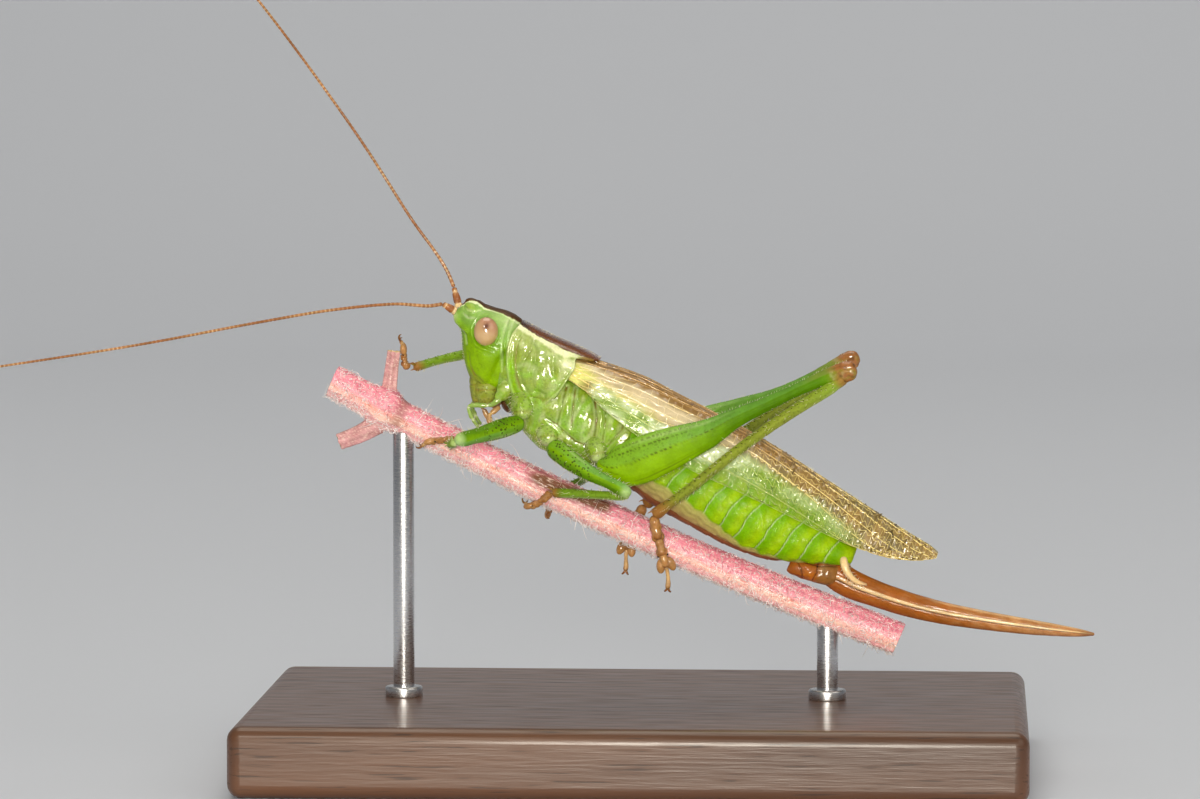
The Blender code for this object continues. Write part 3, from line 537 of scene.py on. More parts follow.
def make_materials():
    cuticle_group()
    eye_material()
    cuticle("green_skin", tint(124, 168, 2), [
        ("cool", tint(112, 164, 74)), ("warm", tint(146, 186, 0)), ("deep", tint(68, 114, 2)),
        ("pale", tint(226, 238, 186)), ("olive", tint(138, 142, 50)), ("brown", tint(152, 98, 52)),
        ("dark", tint(52, 34, 12))], wet=0.04, gloss=0.1)
    cuticle("pale_skin", tint(138, 160, 44), [
        ("cool", tint(124, 168, 72)), ("warm", tint(132, 184, 0)), ("deep", tint(84, 112, 8)),
        ("pale", tint(236, 242, 190)), ("stripe", tint(114, 62, 22)), ("brown", tint(132, 74, 34)),
        ("dark", tint(60, 36, 18))], wet=0.2, pits=1.2, gloss=1.0)
    cuticle("abdomen_skin", tint(112, 168, 0), [
        ("warm", tint(158, 190, 4)), ("pale", tint(206, 192, 128)), ("flesh", tint(172, 148, 96)),
        ("brown", tint(134, 80, 50)), ("line", tint(196, 212, 160)), ("dark", tint(70, 92, 16))],
        pits=0.8, gloss=0.04)
    cuticle("brown_skin", tint(152, 94, 34), [
        ("pale", tint(214, 178, 124)), ("red", tint(122, 62, 22)), ("dark", tint(30, 18, 8))],
        mottle=0.2, wet=0.1, gloss=0.9)
    cuticle("feeler_skin", tint(156, 98, 54), [
        ("pale", tint(236, 206, 158)), ("red", tint(118, 60, 34)), ("dark", tint(66, 38, 20))],
        mottle=0.2, wet=0.1, gloss=0.5)
    cuticle("blade_skin", tint(164, 94, 30), [
        ("pale", tint(240, 210, 156)), ("spot", tint(206, 122, 28)), ("grey", tint(126, 112, 62)),
        ("red", tint(124, 62, 24)), ("dark", tint(44, 22, 10))], mottle=0.15, wet=0.08, gloss=0.5)
    wing_material()
    make_stem_materials()
    make_stand_materials()
    hair_material()


# ---------------------------------------------------------------- head and body

FRONTAL_RIDGE = [(-11.02, 5.36), (-10.75, 5.1), (-10.46, 4.96), (-10.21, 4.92)]
CROWN_FOLDS = [
    [(-10.78, 5.82), (-10.52, 5.72), (-10.22, 5.8), (-10.02, 5.96)],
    [(-10.66, 5.52), (-10.36, 5.44), (-10.1, 5.56)], [(-10.44, 4.78), (-10.2, 4.74), (-9.98, 4.4)],
]
CHEEK_PITS = [[(-9.58, 4.46), (-9.4, 4.3), (-9.24, 4.28)], [(-9.34, 4.12), (-9.22, 3.94), (-9.0, 3.8)]]
HEAD_EDGE = [(-8.66, 6.1), (-8.62, 5.6), (-8.46, 5.02), (-8.22, 4.5), (-8.0, 4.02)]
LIP_SUTURE = [(-9.76, 4.1), (-9.5, 3.62), (-9.14, 3.34), (-8.6, 3.18), (-8.2, 3.14)]
FRONT_EDGE = [(2.96, -6.5), (3.08, -6.97), (3.38, -7.4), (3.86, -7.78), (4.44, -8.1),
    (5.04, -8.3), (5.5, -8.36), (5.85, -8.32), (6.1, -8.24), (6.6, -8.2)]
REAR_EDGE = [(2.96, -6.5), (3.1, -6.12), (3.66, -5.76), (4.3, -5.5), (4.75, -5.42),
    (5.1, -5.38), (5.45, -5.34), (5.7, -5.44), (5.84, -5.4), (5.94, -5.16),
    (6.03, -4.76), (6.1, -4.6), (6.6, -4.56)]
LOBE_EDGE = ([(x, z) for z, x in FRONT_EDGE[::-1]] + [(x, z) for z, x in REAR_EDGE[1:]])
LOBE_GROOVES = [
    ([(-7.41, 5.8), (-7.37, 5.28), (-7.43, 4.78), (-7.45, 4.31)], 0.07),
    ([(-7.41, 5.8), (-7.14, 5.38), (-6.95, 4.86), (-6.81, 4.22), (-6.53, 3.79), (-6.06, 3.83)], 0.09),
    ([(-8.12, 5.5), (-7.88, 5.05), (-7.71, 4.57), (-7.13, 3.89), (-6.46, 3.45), (-5.94, 3.63)], 0.05),
    ([(-6.44, 5.66), (-6.2, 5.1), (-5.92, 4.6)], 0.04),
]
SIDE_SUTURES = [
    ([(-5.34, 4.5), (-5.2, 3.7), (-5.06, 2.9)], 1.0),
    ([(-4.97, 4.6), (-4.72, 3.8), (-4.46, 3.05)], 0.7),
    ([(-4.2, 4.8), (-3.63, 3.85), (-3.37, 2.94), (-3.4, 2.4)], 1.0),
    ([(-3.74, 4.9), (-3.25, 3.93), (-2.92, 2.68)], 0.45),
    ([(-2.59, 4.97), (-2.45, 3.82), (-2.76, 2.84)], 0.6),
    ([(-5.6, 2.95), (-5.1, 2.87), (-4.52, 2.66), (-4.04, 2.52), (-3.4, 2.6)], 0.8),
]
SEGMENT_EDGES = (-1.6, -0.6, 0.4, 1.4, 2.3, 3.2, 4.02, 5.05, 5.95, 6.83, 7.75)
SEGMENT_SLANT = 0.3
BELLY_EDGE = [(-3.0, 2.8), (0.0, 2.4), (1.97, 2.06), (4.13, 1.42), (5.94, 1.52), (7.97, 2.2), (8.5, 2.5)]
BELLY_LINE = [(-3.0, 2.2), (0.0, 1.6), (1.84, 1.31), (4.25, 1.14), (6.43, 1.44), (8.5, 2.3)]


def crest_marks(x, y, z, jitter, depth, rim, strength):
    """The brown stripe along the crest and the cream line under it."""
    below = read(CREST, x) - z + 0.08 * np.abs(y) + jitter
    dark = 1 - smooth(depth - 0.02, depth + 0.02, below)
    pale = (1 - dark) * (1 - smooth(depth + rim * 0.7, depth + rim * 1.3, below)) * strength
    return dark, pale


def face_front(z):
    """How far forward the face is at each height."""
    return read([row[:2] for row in HEAD[::-1]], z)


def head_dress(points):
    x, y, z = points.T
    side = smooth(0.25, 0.75, np.abs(y))
    rim = off_eye(x, z)
    ridge = bell(stroke(x, z, FRONTAL_RIDGE), 0.11) * smooth(0.08, 0.3, np.abs(y))
    folds = sum(bell(stroke(x, z, line), 0.045) for line in CROWN_FOLDS)
    pits = sum(bell(stroke(x, z, line), 0.05) for line in CHEEK_PITS)
    lip = bell(stroke(x, z, LIP_SUTURE), 0.05)
    knob = np.hypot((x + 10.5) / 0.24, (z - 5.87) / 0.17)
    hem = stroke(x, z, HEAD_EDGE)
    relief = (side * (0.035 * bell(rim - 1.22, 0.09) - 0.07 * bell(rim - 1.0, 0.09)
        - 0.015 * pits * (0.4 + 0.6 * (ripple(points, 0.1) > 0)))
        - smooth(0.1, 0.35, np.abs(y)) * 0.05 * folds + 0.12 * ridge - 0.03 * lip
        + 0.06 * bell(knob, 0.9) - 0.04 * bell(knob - 1.3, 0.22)
        - 0.04 * bell(hem, 0.04) + 0.03 * bell(hem - 0.13, 0.07)
        + 0.014 * ripple(points, 0.6) + 0.005 * ripple(points, 0.15)
        + side * (0.03 * dab(x, z, -8.76, 5.16, 0.15, 0.15) + 0.03 * dab(x, z, -8.9, 5.74, 0.11, 0.18)
        + 0.02 * smooth(4.6, 5.2, z) * ripple(points, 0.17, 11)))
    depth = np.interp(x, [-10.9, -10.6, -10.2, -9.95, -9.6, -9.2, -8.8, -8.4],
        [0.05, 0.07, 0.09, 0.14, 0.15, 0.18, 0.21, 0.17])
    width = np.interp(x, [-10.8, -10.2, -9.8, -9.4, -8.4], [0.09, 0.1, 0.08, 0.04, 0.1])
    strength = np.interp(x, [-10.7, -10.1, -9.7, -9.3, -8.9, -8.4], [1.0, 1.0, 0.8, 0.25, 0.4, 0.6])
    dark, pale = crest_marks(x, y, z, 0.02 * ripple(points, 0.1, 4), depth, width, strength)
    mint = dab(x, z, -8.85, 5.94, 0.62, 0.24)
    front = x - face_front(z)
    # The pale strokes on the front end of the frontal ridge and just in front of the head's hind edge are
    # painted glints.
    marks = {"dark": np.maximum(0.85 * dark, 0.3 * pits * (ripple(points, 0.09, 7) > 0.1) * side),
        "brown": 0.6 * lip * smooth(-9.6, -9.2, x) * smooth(-8.9, -9.2, x) + 0.5 * lip * smooth(
        -8.5, -8.2, x) + dark, "pale": unit(pale + 0.25 * bell(hem - 0.12, 0.06) + 0.22 * mint
        + 0.4 * ridge * smooth(-10.6, -10.9, x) + 0.1 * smooth(5.0, 5.6, z)
        + 0.35 * folds * side) * (1 - dark),
        "warm": 0.8 * bell(knob, 0.95) + 0.8 * smooth(4.8, 3.9, z) + 0.5 * ridge,
        "cool": smooth(4.8, 5.4, z) * 0.5, "wet": side * (1.2 * dab(x, z, -8.7, 5.4, 0.5, 0.6)
        + 1.2 * dab(x, z, -10.3, 5.45, 0.45, 0.35)) + 1.0 * ridge,
        "deep": 0.35 * bell(front, 0.1) * smooth(5.0, 4.6, z) + 0.45 * bell(rim - 1.06, 0.07) * side
        + 0.2 * smooth(5.2, 4.8, z) * side,
        "olive": unit(0.75 * smooth(3.5, 3.1, z) * smooth(-8.3, -8.9, x)
        + 0.3 * bell(knob, 0.8)), "dotted": 0.12 * smooth(5.2, 4.4, z) + 0.4 * smooth(3.4, 3.1, z)}
    return relief, marks


def head_shape(u, v):
    height, front, back, half, fullness = at(by_reach(HEAD), u).T
    angle = 2 * pi * v
    power = np.where(np.cos(angle) < 0, fullness, 5.0)
    along, across = oval(angle, power)
    middle = (front + back) / 2 + 0.1
    back = back + 0.6 * smooth(3.5, 4.6, height)
    shut = unit(np.minimum(u, 1 - u) / 0.02) ** 0.5
    x = middle + np.where(along < 0, middle - front, back - middle) * along * shut
    # The crown follows the crest, and the neck draws in under the shield.
    neck = smooth(-8.36, -8.1, x + 0.28 * smooth(5.2, 4.2, height))
    crown = smooth(5.5, 6.2, height)
    crest = read(CREST, np.maximum(x, -10.4))
    height = height + (crest - 6.25) * crown - 0.06 * neck * crown
    points = np.stack((x, half * across * shut * (1 - 0.16 * neck), height), -1)
    relief, marks = head_dress(points)
    return points, relief * shut, marks


def eye_marks(points, side):
    x, y, z = points.T
    off = np.hypot(x - EYE_CENTRE[0] + 0.06, (z - EYE_CENTRE[2] - 0.25) * 0.85)
    outer = smooth(0.9, 1.3, side * y)
    return {"pupil": unit(0.85 * bell(off, 0.115) + 0.22 * bell(off, 0.3)) * outer,
        "rim": smooth(0.74, 1.0, off_eye(x, z)), "upper": smooth(5.1, 5.8, z)}


class KATYDID_OT_head(bpy.types.Operator):
    """Build the head capsule with its crown stripe, frontal ridge and cheeks"""
    bl_idname = "katydid.head"
    bl_label = "Head"

    def execute(self, context):
        mesh = bmesh.new()
        bent_grid(mesh, 170, 220, head_shape, (6.0, 7.5))
        finish_piece("head_capsule", mesh, "green_skin", "green_cuticle", "head")
        return {"FINISHED"}


class KATYDID_OT_eyes(bpy.types.Operator):
    """Build the two compound eyes"""
    bl_idname = "katydid.eyes"
    bl_label = "Eyes"

    def execute(self, context):
        for name, side in SIDES.items():
            mesh = bmesh.new()
            made = bmesh.ops.create_icosphere(mesh, subdivisions=6, radius=1.0)["verts"]
            flat = np.array([vert.co[:] for vert in made])
            turn = np.array(Matrix.Rotation(-EYE_LEAN, 3, "Y"))
            points = flat * EYE_RADII @ turn.T + (EYE_CENTRE[0], side * EYE_CENTRE[1], EYE_CENTRE[2])
            marks = eye_marks(points, side)
            layers = [mesh.verts.layers.float.new(label) for label in marks]
            for vert, point, *values in zip(mesh.verts, lay(points), *marks.values()):
                vert.co = point
                for layer, value in zip(layers, values):
                    vert[layer] = value
            finish_piece(f"compound_eye_{name}", mesh, "eye_skin", "eye", f"eye_{name}")
        return {"FINISHED"}


def even_angles(stations, low, high, powers, v):
    """Angles that are evenly spaced along a ring's outline."""
    angle = np.linspace(low, high, 3000)
    y, z = ring(np.repeat([stations], len(angle), 0), angle, *powers)
    reach = np.concatenate(([0], np.cumsum(np.hypot(np.diff(y), np.diff(z)))))
    return np.interp(v, reach / reach[-1], angle)


def pronotum_dress(points):
    x, y, z = points.T
    edge = stroke(x, z, LOBE_EDGE)
    front = stroke(x, z, [(place, height) for height, place in FRONT_EDGE])
    grooves = sum(depth * bell(stroke(x, z, line), 0.09) for line, depth in LOBE_GROOVES)
    flank = smooth(6.0, 5.6, z)
    collar = smooth(0.34, 0.24, front)
    # A raised boss at the shield's rear; its strong pale mark below is a painted wet glint.
    boss_with_painted_glint = dab(x, z, -5.7, 5.4, 0.34, 0.19)
    relief = (flank * (0.045 * bell(edge - 0.05, 0.05) + 0.02 * collar - 0.06 * bell(front - 0.36, 0.06))
        - flank * grooves + flank * (1 - collar) * (0.045 * ripple(points, 0.62)
        + 0.016 * ripple(points, 0.22, 3)) + 0.0055 * ripple(points, 0.09, 5) * flank + 0.09 * boss_with_painted_glint)
    depth = np.interp(x, [-8.3, -8.0, -7.4, -6.5, -6.0, -5.5, -5.1, -4.7],
        [0.19, 0.22, 0.3, 0.31, 0.36, 0.33, 0.27, 0.19])
    width = np.interp(x, [-8.3, -7.8, -7.3, -6.6, -5.9, -5.3], [0.22, 0.2, 0.16, 0.26, 0.28, 0.12])
    dark, pale = crest_marks(x, y, z, 0.03 * ripple(points, 0.12, 4), depth, width,
        np.interp(x, [-8.3, -7.8, -6.0, -5.5, -4.9], [0.7, 0.9, 0.9, 0.6, 0.0]))
    specks = (ripple(points, 0.06, 9) > 0.66) * smooth(6.0, 5.6, z)
    bead = 0.55 * bell(read(CREST, x) - z + 0.08 * np.abs(y) - depth, 0.05)
    cloud = smooth(-0.1, 0.5, ripple(points, 0.33, 12))
    marks = {"stripe": dark, "dark": unit(0.8 * dark * smooth(-7.6, -8.1, x) + 0.25 * dark * (
        0.5 + 0.5 * ripple(points, 0.15)) + dark * bead),
        "brown": unit(0.45 * specks + 0.2 * bell(edge - 0.16, 0.04) * smooth(4.2, 3.4, z)
        + 0.4 * bell(front - 0.37, 0.035) * smooth(5.6, 5.0, z)
        + 0.75 * smooth(-5.55, -5.15, x) * smooth(5.6, 5.8, z)),
        "pale": unit(pale + 0.85 * boss_with_painted_glint + flank * (1 - collar) * (0.04 + 0.24 * cloud * smooth(
        3.6, 4.6, z) + 0.14 * smooth(4.9, 5.6, z)) + 0.25 * collar * smooth(4.6, 5.6, z)
        + 0.25 * bell(edge - 0.04, 0.05) * smooth(6.0, 5.7, z)) * (1 - dark),
        "warm": unit(0.85 * collar * smooth(5.1, 4.3, z) + 0.6 * bell(ripple(points, 0.45, 6) - 0.45, 0.25)
        * smooth(5.3, 4.3, z)),
        "cool": 0.35 * flank * bell(ripple(points, 0.6, 16) - 0.3, 0.3) * (1 - collar),
        "dotted": 0.15 * flank * (1 - collar)}
    return relief, marks


class KATYDID_OT_pronotum(bpy.types.Operator):
    """Build the saddle-shaped shield over the front of the body"""
    bl_idname = "katydid.pronotum"
    bl_label = "Pronotum"

    def execute(self, context):
        powers = (3.0, 2.6)
        low = radians(-71)

        def shape(u, v):
            angle = even_angles(PRONOTUM[3][1:], low, pi - low, powers, v)
            x = np.full_like(u, -6.5)
            for _ in range(5):
                z = ring(at(PRONOTUM, x), angle, *powers)[1]
                front, rear = at(FRONT_EDGE, z)[:, 0], at(REAR_EDGE, z)[:, 0]
                x = front + (rear - front) * u
            y, z = ring(at(PRONOTUM, x), angle, *powers)
            points = np.stack((x, y, z), -1)
            return (points, *pronotum_dress(points))

        mesh = bmesh.new()
        bent_grid(mesh, 110, 260, shape, (4.0, 8.0))
        piece = finish_piece("pronotum_shield", mesh, "pale_skin", "pale_cuticle", "pronotum")
        shell = piece.modifiers.new("shell", "SOLIDIFY")
        shell.thickness = 0.12 * MM
        shell.offset = -1
        return {"FINISHED"}


def thorax_dress(points):
    x, y, z = points.T
    nearest = np.full(len(x), 9.0)
    seam = np.zeros(len(x))
    for line, strength in SIDE_SUTURES:
        distance = stroke(x, z, line) + 0.015 * ripple(points, 0.15)
        nearest = np.minimum(nearest, distance / (0.6 + 0.4 * strength))
        seam = np.maximum(seam, strength * bell(distance, 0.03))
    relief = (0.12 * (1 - np.exp(-nearest / 0.12)) - 0.07 + 0.03 * ripple(points * (1, 1, 0.7), 0.36)
        + 0.01 * ripple(points * (1, 1, 0.6), 0.17, 3) + 0.005 * ripple(points, 0.08, 5))
    # The pale vertical streaks and the pale bands beside the seams are painted reflections on the glossy
    # plates.
    streak = smooth(0.0, 0.5, ripple(points * (1, 1, 0.3), 0.22, 8))
    # The deep colour of the throat in front of the fore hips is painted shade in the recess under the
    # head.
    throat_shade = smooth(-6.7, -7.1, x) * smooth(3.6, 3.0, z)
    return relief, {"dark": 0.35 * seam * (z > 2.2), "brown": unit(0.8 * seam * smooth(
        -0.3, 0.3, ripple(points, 0.3, 4))),
        "pale": unit((0.26 * streak + 0.22 * bell(nearest - 0.09, 0.04)) * (1 - throat_shade)),
        "cool": 0.6 * bell(ripple(points * (1, 1, 0.4), 0.5, 5) - 0.3, 0.4),
        "warm": 0.5 * bell(ripple(points * (1, 1, 0.5), 0.4, 15) - 0.3, 0.3),
        "deep": unit(0.9 * throat_shade + 0.25 * bell(nearest, 0.07)), "dotted": 0.2}


class KATYDID_OT_thorax(bpy.types.Operator):
    """Build the plates of the chest, with the seams between them"""
    bl_idname = "katydid.thorax"
    bl_label = "Thorax"

    def execute(self, context):
        mesh = bmesh.new()
        body_shell(mesh, THORAX, 150, 200, (2.2, 2.2), thorax_dress)
        finish_piece("thorax_plates", mesh, "pale_skin", "pale_cuticle", "thorax")
        return {"FINISHED"}


def abdomen_dress(points):
    x, y, z = points.T
    along = (x - SEGMENT_SLANT * (z - 2.8) * smooth(4.2, 3.4, z) + 0.07 * np.sin(3.2 * (z - 2.3))
        - 0.02 * ripple(points, 0.3))
    edges = np.array(SEGMENT_EDGES)
    index = np.clip(np.searchsorted(edges, along), 1, len(edges) - 1)
    share = (along - edges[index - 1]) / (edges[index] - edges[index - 1])
    past = along - edges[np.argmin(np.abs(along[:, None] - edges), axis=1)]
    line = np.abs(past)
    wave = 0.05 * ripple(points, 0.35, 2)
    border = (read(BELLY_EDGE, x) + wave - (0.1 + 0.06 * smooth(3.0, 6.0, x)) * bell(share - 0.5, 0.3))
    low = read(BELLY_LINE, x) + 0.4 * wave
    back = smooth(border - 0.09, border + 0.09, z)
    belly = smooth(low + 0.03, low - 0.05, z)
    side = (1 - back) * (1 - belly)
    pleats = np.cos(2 * pi * (z - border) / 0.23 + 18 * wave)
    relief = (back * (0.05 * share**2 - 0.05 * bell(line, 0.028) + 0.03 * ripple(points, 0.3)
        + 0.012 * ripple(points * (1, 1, 0.5), 0.11, 9))
        + 0.02 * ripple(points, 0.4) + 0.006 * ripple(points, 0.12, 3)
        + side * (0.012 * pleats + 0.025 * ripple(points, 0.22, 6))
        - 0.05 * bell(z - low, 0.05) - 0.03 * bell(z - border, 0.05) + 0.03 * belly * (share - 0.5))
    tip = smooth(7.9, 8.4, x)
    return relief, {
        "pale": unit(0.75 * side * smooth(low, border, z) * (0.8 + 0.4 * ripple(points, 0.3, 11))),
        "flesh": unit(side * (1.0 - 0.5 * smooth(low, border, z))),
        "line": 0.9 * bell(past - 0.02, 0.02) * smooth(4.2, 3.4, z) * back,
        "brown": unit(belly + 0.45 * bell(z - low, 0.05)),
        "warm": unit(0.9 * tip + 0.8 * bell(share - 0.7, 0.3) * back + 0.45 * side),
        "dark": 0.8 * bell(past + 0.014, 0.012) * back, "dotted": 0.1 * back}


class KATYDID_OT_abdomen(bpy.types.Operator):
    """Build the ringed abdomen with its pleated flanks and brown belly"""
    bl_idname = "katydid.abdomen"
    bl_label = "Abdomen"

    def execute(self, context):
        mesh = bmesh.new()
        body_shell(mesh, ABDOMEN, 330, 190, (1.9, 2.0), abdomen_dress)
        finish_piece("abdomen_rings", mesh, "abdomen_skin", "green_cuticle", "abdomen")
        return {"FINISHED"}


# ---------------------------------------------------------------- limbs

# Limbs, as stations x, y outwards, z, half width, half depth.
HIND_FEMUR_BASE = [
    (-2.82, 1.66, 2.25, 0.16, 0.12), (-2.52, 1.8, 2.2, 0.3, 0.42), (-2.1, 1.98, 2.33, 0.42, 0.77),
    (-1.55, 2.14, 2.72, 0.48, 0.94), (-0.62, 2.38, 3.67, 0.48, 0.93)]
HIND_FEMUR = {
    "left": HIND_FEMUR_BASE + [
        (0.13, 2.54, 4.46, 0.44, 0.79), (0.89, 2.7, 5.26, 0.38, 0.61), (1.71, 2.94, 6.37, 0.31, 0.4),
        (2.6, 3.2, 7.42, 0.26, 0.3), (3.84, 3.58, 8.88, 0.24, 0.27), (4.72, 3.84, 9.82, 0.28, 0.36),
        (5.18, 3.98, 10.2, 0.31, 0.42), (5.5, 4.05, 10.46, 0.24, 0.3)],
    "right": HIND_FEMUR_BASE + [
        (0.15, 2.54, 4.46, 0.44, 0.87), (0.9, 2.7, 5.28, 0.4, 0.78), (1.76, 2.94, 6.34, 0.33, 0.46),
        (2.75, 3.2, 7.3, 0.27, 0.31), (4.02, 3.58, 8.7, 0.24, 0.27), (4.84, 3.84, 9.7, 0.28, 0.34),
        (5.24, 3.98, 10.12, 0.31, 0.4), (5.52, 4.05, 10.36, 0.24, 0.28)],
}
HIND_TIBIA = {
    "left": [(5.2, 3.98, 9.96, 0.21, 0.26), (4.88, 3.91, 9.36, 0.2, 0.25),
        (4.06, 3.64, 8.1, 0.2, 0.24), (2.97, 3.1, 6.3, 0.19, 0.22),
        (1.97, 2.5, 4.4, 0.18, 0.21), (1.2, 1.94, 2.8, 0.18, 0.2),
        (0.5, 1.38, 1.5, 0.18, 0.2), (0.26, 1.18, 1.04, 0.21, 0.22)],
    "right": [(5.2, 3.98, 9.96, 0.19, 0.22), (4.85, 3.91, 9.3, 0.18, 0.2),
        (4.0, 3.64, 8.02, 0.18, 0.2), (2.75, 3.1, 6.2, 0.18, 0.21),
        (1.6, 2.5, 4.3, 0.18, 0.21), (0.75, 1.94, 2.7, 0.18, 0.2),
        (0.0, 1.4, 1.54, 0.18, 0.2), (-0.32, 1.18, 1.02, 0.21, 0.22)],
}
HIND_TARSUS = {
    "left": [(0.24, 1.18, 1.04), (0.62, 1.18, 0.48), (0.98, 1.12, 0.04), (1.22, 1.12, -0.28),
        (1.52, 1.06, -0.62), (1.82, 0.96, -1.04), (1.98, 0.9, -1.36), (2.14, 0.78, -1.86)],
    "right": [(-0.33, 1.2, 1.02), (-0.34, 1.2, 0.38), (-0.32, 1.18, -0.14), (-0.3, 1.16, -0.5),
        (-0.26, 1.08, -0.94), (-0.1, 0.96, -1.36), (0.04, 0.88, -1.66), (0.18, 0.76, -2.08)],
}
MID_FEMUR = {
    "left": [(-5.02, 1.34, 1.92, 0.28, 0.32), (-4.6, 1.56, 1.92, 0.36, 0.42),
        (-3.8, 1.92, 1.77, 0.36, 0.4), (-2.9, 2.28, 1.68, 0.29, 0.31),
        (-2.0, 2.64, 1.68, 0.23, 0.25), (-1.3, 2.88, 1.66, 0.25, 0.26),
        (-0.98, 2.94, 1.62, 0.18, 0.18)],
    "right": [(-5.02, 1.34, 1.92, 0.28, 0.32), (-4.9, 1.74, 1.84, 0.36, 0.42),
        (-4.55, 2.4, 1.66, 0.36, 0.4), (-4.05, 3.15, 1.46, 0.29, 0.31),
        (-3.5, 3.9, 1.28, 0.23, 0.25), (-3.1, 4.45, 1.16, 0.25, 0.26), (-2.98, 4.62, 1.1, 0.18, 0.18)],
}
MID_TIBIA = {
    "left": [(-1.05, 2.9, 1.6, 0.17, 0.17), (-1.3, 2.74, 1.4, 0.16, 0.17),
        (-1.9, 2.34, 1.12, 0.16, 0.17), (-3.1, 1.62, 0.58, 0.17, 0.18), (-4.06, 1.1, 0.14, 0.2, 0.2)],
    "right": [(-3.0, 4.52, 1.06, 0.17, 0.17), (-3.06, 4.2, 0.84, 0.16, 0.17),
        (-3.2, 3.6, 0.66, 0.16, 0.17), (-3.52, 2.3, 0.36, 0.17, 0.18), (-3.8, 1.24, 0.09, 0.2, 0.2)],
}
FORE_FEMUR = {
    "left": [(-6.42, 1.28, 2.4, 0.28, 0.3), (-6.8, 1.7, 2.1, 0.35, 0.38),
        (-7.36, 2.46, 1.66, 0.36, 0.38), (-7.96, 3.3, 1.22, 0.28, 0.3),
        (-8.42, 3.98, 0.92, 0.25, 0.27), (-8.58, 4.2, 0.84, 0.18, 0.18)],
    "right": [(-6.42, 1.28, 2.42, 0.28, 0.3), (-6.88, 1.66, 2.62, 0.35, 0.38),
        (-7.52, 2.04, 3.1, 0.36, 0.38), (-8.26, 2.46, 3.72, 0.28, 0.3),
        (-8.94, 2.82, 4.3, 0.25, 0.27), (-9.12, 2.9, 4.44, 0.18, 0.18)],
}
FORE_TIBIA = {
    "left": [(-8.6, 4.1, 0.72, 0.17, 0.17), (-8.72, 3.6, 0.54, 0.17, 0.18),
        (-8.74, 3.0, 0.49, 0.18, 0.2), (-8.78, 2.1, 0.4, 0.16, 0.17), (-8.72, 1.32, 0.33, 0.19, 0.19)],
    "right": [(-9.18, 2.88, 4.28, 0.17, 0.17), (-9.5, 2.6, 3.98, 0.17, 0.18),
        (-10.1, 2.04, 3.6, 0.18, 0.2), (-11.0, 1.28, 2.96, 0.16, 0.17),
        (-11.7, 0.76, 2.38, 0.19, 0.19)],
}
COXAE = {
    "fore": [(-7.14, 0.68, 3.62, 0.28, 0.3), (-6.92, 0.94, 3.26, 0.38, 0.44),
        (-6.68, 1.2, 2.86, 0.4, 0.46), (-6.48, 1.34, 2.46, 0.28, 0.3)],
    "mid": [(-5.3, 0.62, 2.78, 0.36, 0.4), (-5.24, 1.0, 2.32, 0.42, 0.48),
        (-5.06, 1.36, 1.97, 0.33, 0.37)],
    "hind": [(-3.4, 0.84, 3.05, 0.36, 0.4), (-3.1, 1.28, 2.58, 0.38, 0.44),
        (-2.76, 1.64, 2.24, 0.24, 0.28)],
}
# Feet that lie round the stem: distance along it, and degrees round it, from level upwards.
GRIPS = {
    ("fore", "left"): [(-8.74, 18), (-9.16, 4), (-9.42, -6), (-9.62, -14), (-9.86, -30), (-10.0, -48)],
    ("mid", "left"): [(-4.12, 6), (-4.34, -26), (-4.5, -46), (-4.64, -62), (-4.86, -84), (-5.04, -102)],
    ("mid", "right"): [(-3.9, 8), (-3.98, -22), (-3.96, -44), (-3.92, -62), (-3.9, -84), (-3.9, -102)],
}
STALK_FOOT = [(-11.86, 0.68, 2.26), (-12.14, 0.64, 2.42), (-12.28, 0.6, 2.68),
    (-12.44, 0.54, 2.94), (-12.6, 0.46, 3.18), (-12.74, 0.36, 3.3)]
FEMORA = {"fore": FORE_FEMUR, "mid": MID_FEMUR, "hind": HIND_FEMUR}
TIBIAE = {"fore": FORE_TIBIA, "mid": MID_TIBIA, "hind": HIND_TIBIA}


def perch_height(x):
    return PERCH_BOW * x * x


def grip_path(places):
    """The line of a foot that lies round the stem, just clear of its bark."""
    off = PERCH_RADIUS + 0.24
    return [(x, off * cos(radians(turn)), perch_height(x) + off * sin(radians(turn)))
        for x, turn in places]


class Path:
    """Places and directions along a limb's line, by share of its reach."""

    def __init__(self, stations, side, roll=0.0):
        rows = np.asarray(stations, float)[:, :3] * (1, side, 1)
        self.roll = roll
        self.table = by_reach(rows)
        self.length = float(np.sum(np.linalg.norm(np.diff(rows, axis=0), axis=1)))

    def at(self, share):
        """The place, the run, the sideways way and the downward way there."""
        here, ahead, behind = at(self.table, np.array([share, min(share + 0.01, 1),
            max(share - 0.01, 0)]))
        run = (ahead - behind) / np.linalg.norm(ahead - behind)
        width_way = np.cross((run[2], 0.0, -run[0]), run)
        width_way /= np.linalg.norm(width_way)
        width_way = width_way * cos(self.roll) + np.cross(run, width_way) * sin(self.roll)
        return here, run, width_way, np.cross(run, width_way)


def thorn(mesh, root, way, length, radius, bend=(0.0, 0.0, 0.0), mark_name="dark", shade=0.6):
    """Adds a small curved spine."""
    way = np.asarray(way, float) / np.linalg.norm(way)
    root, tip = np.asarray(root, float), np.asarray(root, float) + way * length
    middle = (root + tip) / 2 - np.asarray(bend, float) * length * 0.25
    rows = [(*spot, size, size) for spot, size in ((root - way * radius, radius), (middle, radius * 0.7),
        (tip, radius * 0.2))]
    tube(mesh, rows, 1, 6, 6, (0.3, 1.0), lambda share, angle, points: (
        0.0, {mark_name: unit(shade * (0.4 + share))}))


